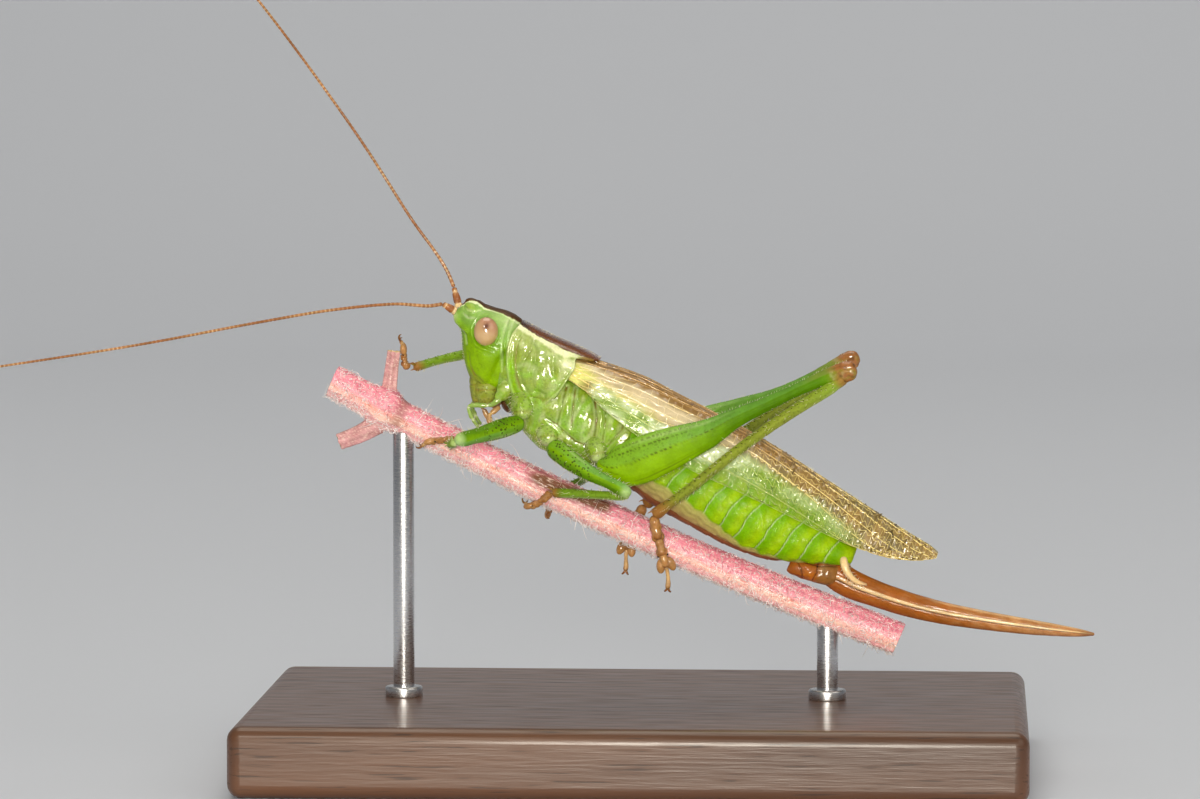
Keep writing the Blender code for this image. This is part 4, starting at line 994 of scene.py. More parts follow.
def femur_dress(side, hind):
    """Yellow-green with a bluer upper face, rows of dark dots, and a brown or a pale knee."""
    def dress(share, angle, points):
        outer, down = -side * np.cos(angle), np.sin(angle)
        wave = 0.04 * ripple(points, 0.3, 7)
        middle = 0.02 - 0.42 * share + wave
        upper = smooth(middle + 0.06, middle - 0.14, down)
        beads = np.cos(share * (370 if hind else 180) + 5 * ripple(points, 0.9, 3)) > -0.1
        rows = beads * (bell(down - middle, 0.035) * smooth(0.6, 0.45, share)
            + bell(down + 0.58 + wave, 0.03) * smooth(0.45, 0.3, share)
            + bell(down + 0.84, 0.03) * smooth(0.5, 0.3, share))
        creases = (bell(down - 0.76, 0.022) * bell(share - 0.26, 0.13)
            + bell(down - 0.62, 0.018) * bell(share - 0.3, 0.1)
            + bell(down - 0.15 - 4.5 * (share - 0.06), 0.03) * bell(share - 0.09, 0.03)) * (outer > 0)
        knee = smooth(0.885, 0.955, share) * hind
        joint = smooth(0.88, 0.96, share) * (not hind)
        relief = (0.015 * bell(np.abs(down) - 1.0, 0.1) - 0.014 * bell(down - middle - 0.06, 0.06)
            - 0.012 * bell(down - 0.7, 0.07) + 0.012 * ripple(points, 0.35)
            + 0.005 * ripple(points, 0.1, 3) + 0.03 * bell(share - 0.955, 0.012) * outer * hind
            + 0.03 * knee * ripple(points, 0.2, 5))
        return relief, {"cool": unit((0.25 + 0.6 * smooth(0.15, 0.6, share)) * upper + 0.5 * joint),
            "warm": 0.3 * (1 - upper) * smooth(0.5, 0.15, share), "wet": 0.7 * knee,
            "deep": (smooth(0.26, 0.62, share) * (0.85 - 0.3 * upper) * smooth(0.98, 0.85, share) if hind
            else (0.2 + 0.55 * smooth(-0.2, 0.7, down)) * (1 - joint)),
            "brown": unit(knee * (0.9 + 0.3 * ripple(points, 0.2)) + 0.25 * upper * smooth(
            0.78, 0.88, share) * hind), "dark": unit(0.75 * rows * hind + 0.55 * creases * hind
            + 0.5 * knee * smooth(0.1, 0.5, ripple(points, 0.18, 9))),
            "dotted": unit((0.25 if hind else 0.8) * smooth(0.8, 0.4, share)
            * (upper if hind else 1)) * (1 - knee) * (1 - joint),
            "pale": unit(0.2 * bell(down + 0.8, 0.1) * smooth(0.1, 0.3, share) * smooth(0.6, 0.4, share)
            + 0.3 * joint + 0.55 * knee * smooth(0.0, 0.4, ripple(points, 0.16, 2)))}
    return dress


def tibia_dress(hind):
    """Olive, with small ridges and a brown end."""
    def dress(share, angle, points):
        foot = smooth(0.84, 0.97, share)
        knee = smooth(0.06, 0.02, share)
        relief = (0.012 * np.cos(4 * angle) + 0.006 * ripple(points, 0.15)
            - 0.02 * bell(share - 0.05, 0.012) + 0.05 * bell(share - 0.97, 0.035) * hind)
        # The pale line along the top of each shin is a painted highlight.
        return relief, {"olive": 0.5 + 0.3 * smooth(0.0, 0.35, share) if hind else 0.25, "cool": 0.3,
            "brown": unit(0.9 * foot + (0.8 * hind) * knee), "deep": 0.3 * (not hind),
            "pale": 0.3 * bell(np.sin(angle) + 1.0, 0.3) * (1 - foot) + 0.3 * knee * (not hind),
            "dotted": 0.3 * (1 - foot)}
    return dress


def tibia_thorns(mesh, path, hind):
    """Two rows of small spines on the back and two on the belly side, and spurs at the end."""
    for row, (across, down) in enumerate(((0.7, 0.7), (-0.7, 0.7), (0.7, -0.75), (-0.7, -0.75))):
        if hind:
            count, size, start = (30, 0.12, 0.1) if down > 0 else (7, 0.11, 0.3)
        elif down > 0:
            count, size, start = 6, 0.2, 0.22
        else:
            continue
        for index in range(count):
            share = start + (0.95 - start) * (index + 0.3 * (row % 2)) / count
            here, run, width_way, depth_way = path.at(share)
            way = width_way * across + depth_way * down
            root = here + way * 0.16
            thorn(mesh, root, way + run * 0.7, size, 0.028, -run, shade=0.9 if hind else 0.3)
    here, run, width_way, depth_way = path.at(0.985)
    for across in (-1, 1):
        for down, size in ((0.8, 0.3), (-0.3, 0.2)):
            way = width_way * across * 0.6 + depth_way * down
            thorn(mesh, here + way * 0.14, way * 0.55 + run, size, 0.04, -way, "brown", 1.2)


def foot(mesh, stations, side, splay=1.0, bulk=1.0, roll=0.0):
    """Adds a four-jointed foot: two padded joints, a two-lobed one, and a slim one with claws."""
    path = Path(stations, side, roll)

    def joint(start, end, profile, shade):
        places = np.linspace(start, end, len(profile))
        rows = [(*path.at(place)[0], size * bulk, size * bulk * 0.9)
            for place, size in zip(places, profile)]

        def dress(share, angle, points):
            line = bell(share - 0.97, 0.05) + bell(share - 0.03, 0.04)
            return 0.01 * ripple(points, 0.12), {
                "pale": unit(shade + 0.12 + 0.25 * ripple(points, 0.15, 3)),
                "red": 0.5 * smooth(0.55, 1.0, share), "dark": unit(0.55 * line)}
        tube(mesh, rows, 1, 24, 18, (0.9, 0.9), dress)

    joint(0.0, 0.31, (0.15, 0.2, 0.18, 0.2, 0.15), 0.1)
    joint(0.28, 0.51, (0.12, 0.17, 0.15, 0.18, 0.14), 0.12)
    joint(0.47, 0.66, (0.11, 0.15, 0.18, 0.17, 0.1), 0.22)
    joint(0.6, 0.93, (0.085, 0.075, 0.07, 0.09, 0.11), 0.6)
    for share, reach, size in ((0.15, 0.09, 0.17), (0.27, 0.11, 0.16), (0.46, 0.1, 0.15)):
        here, run, width_way, depth_way = path.at(share)
        for across in (-1, 1):
            spot = here + width_way * across * reach * splay * bulk + depth_way * 0.04
            lobe(mesh, spot, run, width_way, np.array((size, size * 0.66, size * 0.6)) * bulk, 0.2)
    here, run, width_way, depth_way = path.at(0.61)
    for across in (-1, 1):
        spot = here + width_way * across * 0.17 * splay * bulk + run * 0.05 + depth_way * 0.03
        lobe(mesh, spot, run + width_way * across * 0.25, width_way,
            np.array((0.26, 0.15, 0.14)) * bulk, 0.3)
        knob = path.at(0.5)[0] + width_way * across * 0.16 * bulk
        lobe(mesh, knob, run, width_way, (0.045, 0.045, 0.045), 0.0, dark=1.0, fineness=2)
    here, run, width_way, depth_way = path.at(0.905)
    for across in (-1, 1):
        way = width_way * across * 0.8 + run
        middle = here + run * 0.06 + way * 0.1
        tip = middle + run * 0.05 + width_way * across * 0.05 + depth_way * 0.16
        rows = [(*here, 0.055, 0.055), (*middle, 0.045, 0.045),
            (*(middle + (tip - middle) * 0.5 + way * 0.035), 0.03, 0.03), (*tip, 0.008, 0.008)]
        tube(mesh, rows, 1, 12, 8, (0.5, 1.0),
            lambda share, angle, points: (0.0, {"pale": 0.2 * (1 - share), "dark": 0.5 * share,
            "red": 0.5}))


def lobe(mesh, centre, along, across, radii, pale, dark=0.0, fineness=3):
    """Adds a smooth pad with its long side along a direction."""
    along = np.asarray(along, float) / np.linalg.norm(along)
    across = np.asarray(across, float) - along * np.dot(across, along)
    across /= np.linalg.norm(across)
    up = np.cross(along, across)
    marks = {"pale": pale, "dark": dark}
    open_layers(mesh, marks)
    layers = [(mesh.verts.layers.float[name], value) for name, value in marks.items()]
    made = bmesh.ops.create_icosphere(mesh, subdivisions=fineness, radius=1.0)["verts"]
    flat = np.array([vert.co[:] for vert in made]) * radii
    points = centre + flat[:, :1] * along + flat[:, 1:2] * across + flat[:, 2:] * up
    for vert, point in zip(made, lay(points)):
        vert.co = point
        for layer, value in layers:
            vert[layer] = value


def build_leg(kind, name, side):
    """Makes the four pieces of one leg: hip, thigh, shin and foot."""
    hind = kind == "hind"
    mesh = bmesh.new()
    tube(mesh, COXAE[kind], side, 50, 48, (1.0, 0.9), coxa_dress)
    finish_piece(f"{kind}_hip_{name}", mesh, "pale_skin", "green_cuticle", f"{kind}_coxa_{name}")

    mesh = bmesh.new()
    rings, sides = (260, 72) if hind else (130, 44)
    tube(mesh, FEMORA[kind][name], side, rings, sides, (1.1, 0.9), femur_dress(side, hind))
    finish_piece(f"{kind}_thigh_{name}", mesh, "green_skin", "green_cuticle", f"{kind}_femur_{name}")

    mesh = bmesh.new()
    stations = TIBIAE[kind][name]
    tube(mesh, stations, side, 200 if hind else 90, 24, (0.9, 0.9), tibia_dress(hind))
    tibia_thorns(mesh, Path(stations, side), hind)
    finish_piece(f"{kind}_shin_{name}", mesh, "green_skin", "green_cuticle", f"{kind}_tibia_{name}")

    mesh = bmesh.new()
    if hind:
        foot(mesh, HIND_TARSUS[name], side, bulk=1.28, roll=-side * pi / 2)
    elif (kind, name) in GRIPS:
        foot(mesh, grip_path(GRIPS[kind, name]), side)
    else:
        foot(mesh, STALK_FOOT, side, 0.8)
    finish_piece(f"{kind}_foot_{name}", mesh, "brown_skin", "brown_cuticle", f"{kind}_tarsus_{name}")


class KATYDID_OT_legs(bpy.types.Operator):
    """Build the six legs, from the coxae to the claws"""
    bl_idname = "katydid.legs"
    bl_label = "Legs"

    def execute(self, context):
        for name, side in SIDES.items():
            for kind in ("fore", "mid", "hind"):
                build_leg(kind, name, side)
        return {"FINISHED"}


def coxa_dress(share, angle, points):
    joint = bell(share - 0.8, 0.05)
    return 0.035 * ripple(points, 0.35) + 0.015 * ripple(points, 0.12, 3) - 0.03 * joint, {
        "warm": 0.25 + 0.3 * ripple(points, 0.4), "brown": 0.25 * joint,
        "deep": 0.45 * bell(np.sin(angle) - 1.0, 0.6), "cool": 0.2, "pale": unit(
        0.08 + 0.3 * ripple(points, 0.35, 6) + 0.12 * smooth(0.75, 0.95, share)), "dotted": 0.35}


# ---------------------------------------------------------------- mouth, feelers and tail

LIP = [(-9.06, 0.0, 3.46, 0.62, 0.26), (-9.0, 0.0, 3.14, 0.62, 0.31), (-8.84, 0.0, 2.78, 0.56, 0.31),
    (-8.66, 0.0, 2.42, 0.46, 0.27), (-8.54, 0.0, 2.12, 0.3, 0.2)]
JAW = [(-8.6, 0.44, 3.34, 0.32, 0.46), (-8.48, 0.46, 2.98, 0.33, 0.47), (-8.3, 0.43, 2.6, 0.29, 0.4),
    (-8.18, 0.34, 2.26, 0.18, 0.24)]
CHEWER = [(-7.9, 0.72, 3.88, 0.14, 0.1), (-7.78, 0.76, 3.64, 0.22, 0.24), (-7.7, 0.8, 3.38, 0.26, 0.35),
    (-7.7, 0.8, 3.12, 0.25, 0.33), (-7.78, 0.78, 2.9, 0.2, 0.24), (-7.88, 0.74, 2.72, 0.12, 0.12)]
MAXILLARY_PALP = [
    (-7.62, 0.8, 2.98, 0.11, 0.12), (-7.8, 0.86, 2.72, 0.13, 0.14), (-7.97, 0.88, 2.46, 0.1, 0.1),
    (-8.06, 0.88, 2.4, 0.1, 0.1), (-8.72, 0.84, 2.08, 0.1, 0.1), (-8.82, 0.82, 1.98, 0.08, 0.08),
    (-8.72, 0.8, 1.84, 0.08, 0.08), (-8.42, 0.74, 1.56, 0.1, 0.1), (-8.34, 0.72, 1.5, 0.08, 0.08),
    (-8.08, 0.62, 1.35, 0.085, 0.085)]
LABIAL_PALP = {
    "left": [(-7.62, 0.36, 2.5, 0.1, 0.1), (-7.76, 0.46, 2.22, 0.11, 0.12), (-7.85, 0.5, 2.03, 0.09, 0.09),
        (-7.84, 0.5, 1.92, 0.11, 0.12), (-7.72, 0.48, 1.73, 0.12, 0.13), (-7.54, 0.44, 1.7, 0.08, 0.08)],
    "right": [(-8.06, 0.3, 2.52, 0.1, 0.1), (-8.36, 0.38, 2.22, 0.1, 0.11), (-8.3, 0.42, 2.06, 0.08, 0.08),
        (-8.16, 0.44, 1.96, 0.1, 0.11), (-7.92, 0.44, 1.76, 0.1, 0.1), (-7.82, 0.44, 1.7, 0.07, 0.07)],
}
FEELER_LENGTH = 44.0
FEELER_BASE = {
    "left": [(-10.96, 0.33, 5.42), (-11.14, 0.36, 5.44), (-11.36, 0.41, 5.47), (-11.6, 0.46, 5.5)],
    "right": [(-10.94, 0.33, 5.56), (-11.08, 0.36, 5.74), (-11.28, 0.39, 5.98), (-11.5, 0.42, 6.26)],
}
FEELER_ROUTE = {
    "left": [(-11.6, 0.46, 5.5), (-11.8, 0.53, 5.36), (-13.3, 1.1, 4.78), (-15.5, 1.9, 3.6),
        (-18.3, 3.0, 1.8), (-21.6, 4.6, -0.42), (-28.0, 8.2, -4.4),
        (-36.0, 13.4, -9.2), (-46.5, 21.0, -14.6)],
    "right": [(-11.5, 0.42, 6.26), (-11.72, 0.44, 6.48), (-14.5, 0.6, 8.26), (-17.56, 0.86, 10.24),
        (-20.25, 1.1, 11.82), (-24.37, 1.6, 14.04), (-32.0, 2.6, 17.4),
        (-41.0, 4.2, 20.6), (-52.0, 6.6, 23.4)],
}
FEELER_JOINT = 0.19
OVIPOSITOR = [
    (7.36, 0.0, 1.66, 0.18, 0.2), (7.8, 0.0, 1.72, 0.29, 0.44), (8.4, 0.0, 1.76, 0.35, 0.62),
    (9.1, 0.0, 1.7, 0.36, 0.62), (10.2, 0.0, 1.75, 0.34, 0.56), (11.5, 0.0, 1.88, 0.31, 0.53),
    (13.0, 0.0, 2.14, 0.28, 0.48), (14.6, 0.0, 2.54, 0.26, 0.42), (16.3, 0.0, 3.02, 0.23, 0.35),
    (17.8, 0.0, 3.48, 0.19, 0.26), (18.9, 0.0, 3.84, 0.13, 0.15), (19.38, 0.0, 4.0, 0.06, 0.06)]
CERCUS = [
    (8.3, 0.66, 2.7, 0.12, 0.13), (8.46, 0.74, 2.44, 0.17, 0.17), (8.76, 0.8, 2.15, 0.15, 0.15),
    (9.2, 0.8, 1.98, 0.115, 0.115), (9.5, 0.74, 1.98, 0.08, 0.08), (9.7, 0.68, 2.04, 0.035, 0.035)]
UNDER_PLATE = [
    (6.34, 1.58, 1.3, 1.1, 0.3), (6.52, 1.72, 1.34, 1.03, 0.46), (6.84, 1.84, 1.39, 1.04, 0.54),
    (7.3, 2.02, 1.46, 1.08, 0.56), (7.8, 2.2, 1.56, 1.14, 0.52), (8.2, 2.3, 1.64, 1.24, 0.44),
    (8.55, 2.28, 1.72, 1.4, 0.28)]


def jointed_dress(joints, **shades):
    """Pinched in at each joint, with a thin pale skin there."""
    def dress(share, angle, points):
        pinch = sum(bell(share - joint, 0.025) for joint in joints)
        marks = {"pale": unit(shades.get("pale", 0.0) + 0.5 * pinch)}
        marks.update({name: value for name, value in shades.items() if name != "pale"})
        return 0.006 * ripple(points, 0.15) - 0.035 * pinch, marks
    return dress


def lip_dress(share, angle, points):
    """The olive, wet and finely dotted skin of the lower face."""
    seam = bell(share - 0.36, 0.03)
    return 0.02 * ripple(points, 0.25) + 0.008 * ripple(points, 0.08, 3) - 0.02 * seam, {
        "olive": 0.8 + 0.2 * ripple(points, 0.3), "warm": 0.4 * smooth(0.4, 0.0, share),
        "brown": unit(0.5 * smooth(0.7, 1.0, share) + 0.25 * seam + 0.3 * ripple(points, 0.3, 9)),
        "dotted": 0.35, "pale": unit(0.14 + 0.4 * ripple(points, 0.16, 5))}


class KATYDID_OT_mouth(bpy.types.Operator):
    """Build the lips, jaws and palps"""
    bl_idname = "katydid.mouth"
    bl_label = "Mouth"

    def execute(self, context):
        green, pale, brown = "green_skin", "pale_skin", "brown_skin"
        mesh = bmesh.new()
        tube(mesh, LIP, 1, 70, 48, (0.4, 0.8), lip_dress)
        finish_piece("upper_lip", mesh, green, "green_cuticle", "labrum")
        for name, side in SIDES.items():
            mesh = bmesh.new()
            tube(mesh, JAW, side, 60, 40, (0.9, 0.9), lip_dress)
            finish_piece(f"jaw_{name}", mesh, green, "green_cuticle", f"mandible_{name}")
            mesh = bmesh.new()
            tube(mesh, CHEWER, side, 60, 36, (0.9, 0.9), lambda share, angle, points: (
                0.04 * ripple(points, 0.3) + 0.02 * ripple(points, 0.12, 6)
                - 0.03 * bell(share - 0.3, 0.04), {
                "warm": 0.5 + 0.5 * ripple(points, 0.3, 2), "pale": 0.1 + 0.3 * ripple(points, 0.2, 8),
                "deep": 0.3 * bell(np.sin(angle) - 1.0, 0.5),
                "brown": 0.55 * bell(np.sin(angle) + 1.0, 0.35) * smooth(1.0, 0.3, share)}))
            finish_piece(f"maxilla_lobe_{name}", mesh, pale, "green_cuticle", f"maxilla_{name}")
            mesh = bmesh.new()
            tube(mesh, MAXILLARY_PALP, side, 140, 20, (0.9, 0.9),
                jointed_dress((0.05, 0.3, 0.62, 0.83), warm=0.35, cool=0.45, deep=0.3, pale=0.12))
            finish_piece(f"long_palp_{name}", mesh, pale, "green_cuticle", f"maxillary_palp_{name}")
        mesh = bmesh.new()
        lobe(mesh, (-7.9, 0.0, 2.62), (0.24, 0, -1), (0, 1, 0), (0.36, 0.34, 0.26), 0.35, fineness=4)
        # A dark pad under the mouth, between the jaws and the fore hips, painted dark as the shade that
        # falls there.
        lobe(mesh, (-7.36, 0.0, 2.96), (0.35, 0, -1), (0, 1, 0), (0.62, 0.55, 0.42), 0.0,
            dark=0.75, fineness=4)
        for name, side in SIDES.items():
            tube(mesh, LABIAL_PALP[name], side, 90, 18, (0.9, 0.9), jointed_dress((0.45, 0.55), pale=0.5))
        finish_piece("lower_lip", mesh, brown, "brown_cuticle", "labium")
        return {"FINISHED"}


class KATYDID_OT_feelers(bpy.types.Operator):
    """Build the two long feelers with their many small joints"""
    bl_idname = "katydid.feelers"
    bl_label = "Feelers"

    def execute(self, context):
        brown = "feeler_skin"
        for name, side in SIDES.items():
            mesh = bmesh.new()
            rows = [(*place, size, size)
                for place, size in zip(FEELER_BASE[name], (0.19, 0.175, 0.15, 0.1))]
            tube(mesh, rows, side, 60, 28, (0.3, 0.4), lambda share, angle, points: (
                0.008 * ripple(points, 0.12) - 0.04 * bell(share - 0.24, 0.03)
                - 0.025 * bell(share - 0.76, 0.03), {
                "pale": unit(0.85 * smooth(0.28, 0.18, share) + 0.7 * bell(share - 0.8, 0.06)
                + 0.35 * ripple(points, 0.12, 4)), "red": 0.45 * bell(share - 0.45, 0.14)}))
            finish_piece(f"feeler_root_{name}", mesh, brown, "brown_cuticle", f"antenna_{name}_base")

            route = by_reach(FEELER_ROUTE[name])
            length = np.sum(np.linalg.norm(np.diff(FEELER_ROUTE[name], axis=0), axis=1))
            reach = np.linspace(0, FEELER_LENGTH, 70)
            sizes = np.interp(reach, [0, 2, 20, 44], [0.085, 0.068, 0.052, 0.026])
            rows = [(*place, size, size) for place, size in zip(at(route, reach / length), sizes)]

            def dress(share, angle, points):
                turn = share * FEELER_LENGTH / FEELER_JOINT % 1
                joint = bell(np.minimum(turn, 1 - turn), 0.18)
                band = 0.5 + 0.5 * np.sin(share * 61)
                return -0.01 * joint, {"pale": (0.25 + 0.45 * band) * joint, "dark": 0.25 * share
                    * (1 - joint), "red": 0.35 * (1 - band)}

            mesh = bmesh.new()
            tube(mesh, rows, side, 980, 8, (1.0, 1.0), dress)
            finish_piece(f"feeler_{name}", mesh, brown, "brown_cuticle", f"antenna_{name}_inner",
                f"antenna_{name}_outer")
        return {"FINISHED"}


def blade_dress(share, angle, points):
    """Two valves with a pale stripe and a dark seam between them."""
    down = np.sin(angle)
    seam = np.interp(share, [0, 0.15, 1], [0.3, 0.12, 0.0])
    side = smooth(0.25, 0.5, np.abs(np.cos(angle)))
    stripe = smooth(seam - 0.36, seam - 0.3, down) * smooth(seam, seam - 0.05, down)
    line = bell(down - seam - 0.02, 0.045) + 0.5 * bell(down - seam + 0.36, 0.03) * smooth(0.3, 0.5, share)
    relief = side * (-0.05 * line + 0.02 * stripe) + 0.008 * ripple(points * (0.3, 1, 1), 0.2)
    grain = ripple(points * (0.25, 1, 1), 0.1, 3)
    # The pale band along the blade's top, from its middle on, is a painted highlight.
    return relief, {"pale": unit(side * (0.9 * stripe * smooth(0.02, 0.2, share))
        + 0.35 * smooth(-0.7, -0.9, down) * smooth(0.2, 0.6, share)
        + 0.25 * smooth(0.35, 0.8, share) + 0.15 * grain),
        "dark": unit(side * line * (0.75 + 0.3 * (ripple(points, 0.08) > 0)))
        + 0.2 * smooth(0.93, 1.0, share),
        "red": unit(0.25 + 0.4 * smooth(0.5, 0.95, down) + 0.4 * smooth(0.93, 1.0, share)
        + 0.2 * smooth(0.12, 0.0, share))}


def plate_dress(points):
    """Brown, with an amber spot, a greyer patch and creases that run back and up."""
    x, y, z = points.T
    crease = sum(bell(stroke(x, z, line), 0.035) for line in (
        [(6.55, 1.75), (6.9, 1.45), (7.1, 1.12)], [(7.42, 2.0), (7.56, 1.6), (7.52, 1.2)],
        [(6.7, 1.8), (7.5, 1.86), (8.3, 2.2)]))
    return 0.03 * ripple(points, 0.22) + 0.05 * bell(np.hypot(x - 7.28, z - 1.42), 0.18) - 0.04 * crease, {
        "spot": 0.9 * bell(np.hypot((x - 7.28) / 1.2, z - 1.42), 0.17),
        "grey": 0.6 * smooth(7.5, 7.8, x), "pale": 0.45 * bell(np.hypot(x - 7.72, z - 1.82), 0.16),
        "red": 0.35, "dark": unit(0.6 * crease + 0.2 * ripple(points, 0.3, 2))}


class KATYDID_OT_tail(bpy.types.Operator):
    """Build the long ovipositor, the plate under its root and the cerci"""
    bl_idname = "katydid.tail"
    bl_label = "Tail"

    def execute(self, context):
        blade = "blade_skin"
        mesh = bmesh.new()
        tube(mesh, OVIPOSITOR, 1, 280, 96, (0.8, 1.0), blade_dress)
        finish_piece("ovipositor_blade", mesh, blade, "brown_cuticle", "ovipositor")
        mesh = bmesh.new()
        body_shell(mesh, UNDER_PLATE, 110, 80, (2.2, 2.2), plate_dress)
        finish_piece("under_plate", mesh, blade, "brown_cuticle", "subgenital_plate")
        for name, side in SIDES.items():
            mesh = bmesh.new()
            tube(mesh, CERCUS, side, 60, 28, (0.9, 1.0), lambda share, angle, points: (
                0.012 * ripple(points, 0.15), {"pale": 0.95 - 0.3 * share,
                "red": 0.25 * smooth(0.8, 1.0, share)}))
            for share, turn in ((0.35, 0.9), (0.5, 0.5), (0.6, 1.1), (0.72, 0.7)):
                here, run, width_way, depth_way = Path(CERCUS, side).at(share)
                way = depth_way * turn - run * 0.1 + width_way * (turn - 0.8)
                thorn(mesh, here + depth_way * 0.12, way, 0.22, 0.012, run, shade=0.9)
            finish_piece(f"cercus_hook_{name}", mesh, blade, "brown_cuticle", f"cercus_{name}")
        return {"FINISHED"}


# ---------------------------------------------------------------- wings

# Forewings from root to tip: x, top, lower edge, half width over both.
FOREWING = [
    (-6.0, 5.78, 4.9, 1.28), (-5.2, 5.86, 4.82, 1.38), (-4.6, 5.94, 4.74, 1.5),
    (-3.6, 6.04, 4.36, 1.62), (-2.6, 6.11, 4.1, 1.68), (-1.0, 6.03, 3.74, 1.74),
    (1.0, 5.93, 3.52, 1.76), (3.0, 5.77, 3.5, 1.7), (5.0, 5.49, 3.44, 1.56),
    (7.0, 5.18, 3.34, 1.3), (8.6, 4.94, 3.32, 1.04), (9.8, 4.74, 3.42, 0.86),
    (10.8, 4.62, 3.68, 0.72), (11.55, 4.52, 4.02, 0.6), (11.9, 4.4, 4.26, 0.56)]
HINDWING = [
    (-4.1, 5.42, 0.8), (-2.0, 5.44, 0.86), (0.0, 5.36, 0.88), (2.0, 5.22, 0.86),
    (4.0, 4.98, 0.76), (6.0, 4.66, 0.58), (8.0, 4.3, 0.36), (9.2, 4.06, 0.22)]
# The long veins, as x and the share of the way from the midline down to the lower edge.
VEINS = [
    ([(-5.4, 0.86), (-1.0, 0.82), (2.0, 0.84), (5.0, 0.88), (8.2, 0.99)], 0.026),
    ([(-5.4, 0.72), (-1.0, 0.62), (1.5, 0.55), (3.2, 0.54), (4.6, 0.6), (6.0, 0.66), (7.6, 0.78),
        (9.4, 0.92), (10.9, 0.995)], 0.032),
    ([(-5.2, 0.58), (-1.0, 0.48), (2.0, 0.44), (5.0, 0.48), (7.5, 0.58), (9.6, 0.74),
        (11.2, 0.93)], 0.026),
    ([(-5.0, 0.44), (-1.0, 0.36), (3.0, 0.32), (6.0, 0.35), (8.8, 0.48), (10.8, 0.66),
        (11.6, 0.82)], 0.026),
    ([(-4.8, 0.3), (0.0, 0.22), (4.0, 0.19), (8.0, 0.24), (10.6, 0.38), (11.7, 0.56)], 0.024),
    ([(-4.6, 0.14), (0.0, 0.1), (5.0, 0.08), (9.0, 0.1), (11.6, 0.26)], 0.024),
]
WING_ROW = 0.27


def wing_place(x, share, side):
    """Places on a forewing; the left one lies over the right one along the back."""
    stations = at(FOREWING, x)
    top, lower, half = stations.T
    over = 0.06 if side < 0 else 0.0
    low = pi / 2 + (0.16 if side < 0 else -0.02)
    reach = np.linspace(0, 1, 400)
    turn = low * (1 - reach)
    across, upward = oval(turn, 3.0)
    arc = np.concatenate(([0], np.cumsum(np.hypot(np.diff(across) * 1.6, np.diff(upward) * 2.3))))
    across, upward = oval(np.interp(share, arc / arc[-1], turn), 3.0)
    return np.stack((x, side * half * across, lower + (top - lower - 0.03 + over) * upward), -1)


def wing_depth(x):
    """How far it is round a forewing from the midline to its lower edge, in millimetres."""
    top, lower, half = at(FOREWING, x).T
    return 0.86 * (half + top - lower)


def wing_marks(x, share, points):
    """The brown back, the cream streaks of the root, the clear green field and its pale bloom."""
    flow = np.stack((x * 0.1, share * 3.0, 0 * x), -1)
    streak, fine = ripple(flow, 0.2, 3), ripple(flow * (0.6, 1, 1), 0.08, 8)
    edge = np.interp(x, [-4.6, -3.0, 0.0, 3.0, 6.0, 8.5], [0.7, 0.7, 0.66, 0.57, 0.62, 0.74])
    edge = edge + 0.03 * streak
    clear = smooth(-4.6, -3.8, x) * smooth(9.4, 7.0, x + 1.5 * (1 - share))
    field = smooth(edge, edge + 0.1, share) * clear
    cream = (smooth(0.42, 0.55, share + 0.05 * streak)
        * smooth(edge + 0.04, edge - 0.04, share + 0.02 * fine) * smooth(4.6, 1.0, x))
    return {"cream": unit(cream * (0.75 + 0.5 * fine)),
        "tan": unit(smooth(0.56, 0.4, share) * smooth(8.5, 2.0, x) + 0.25 * fine),
        "field": field, "fresh": unit(0.85 * bell(share - edge - 0.02, 0.06) * smooth(-0.5, -3.0, x)
        + smooth(-4.4, -5.0, x) * smooth(0.45, 0.6, share)),
        "streak": smooth(0.0, 0.5, fine) * smooth(7.0, 1.0, x) * (0.25 + 0.75 * smooth(0.5, 0.3, share)),
        "fog": unit(field * smooth(-0.5, 0.2, ripple(points * (0.6, 1, 1), 0.8, 5))
        * np.maximum(smooth(1.0, -1.0, x), smooth(edge + 0.34, edge + 0.12, share)))
        * (0.35 + 0.65 * smooth(5.5, 3.0, x)),
        "lower": field * smooth(edge + 0.12, edge + 0.32, share) * smooth(-2.0, 0.0, x)}


def wing_columns():
    """The x of each column of cells, which are long at the root and small towards the tip."""
    ruler = np.linspace(FOREWING[0][0], FOREWING[-1][0], 2000)
    step = np.interp(ruler, [-4.0, 0.0, 3.5, 8.0, 11.9], [0.95, 0.62, 0.42, 0.34, 0.28]) / 2
    count = np.concatenate(([0], np.cumsum(np.diff(ruler) / step[1:])))
    columns = int(count[-1])
    return np.interp(np.arange(columns + 1), count / count[-1] * columns, ruler)


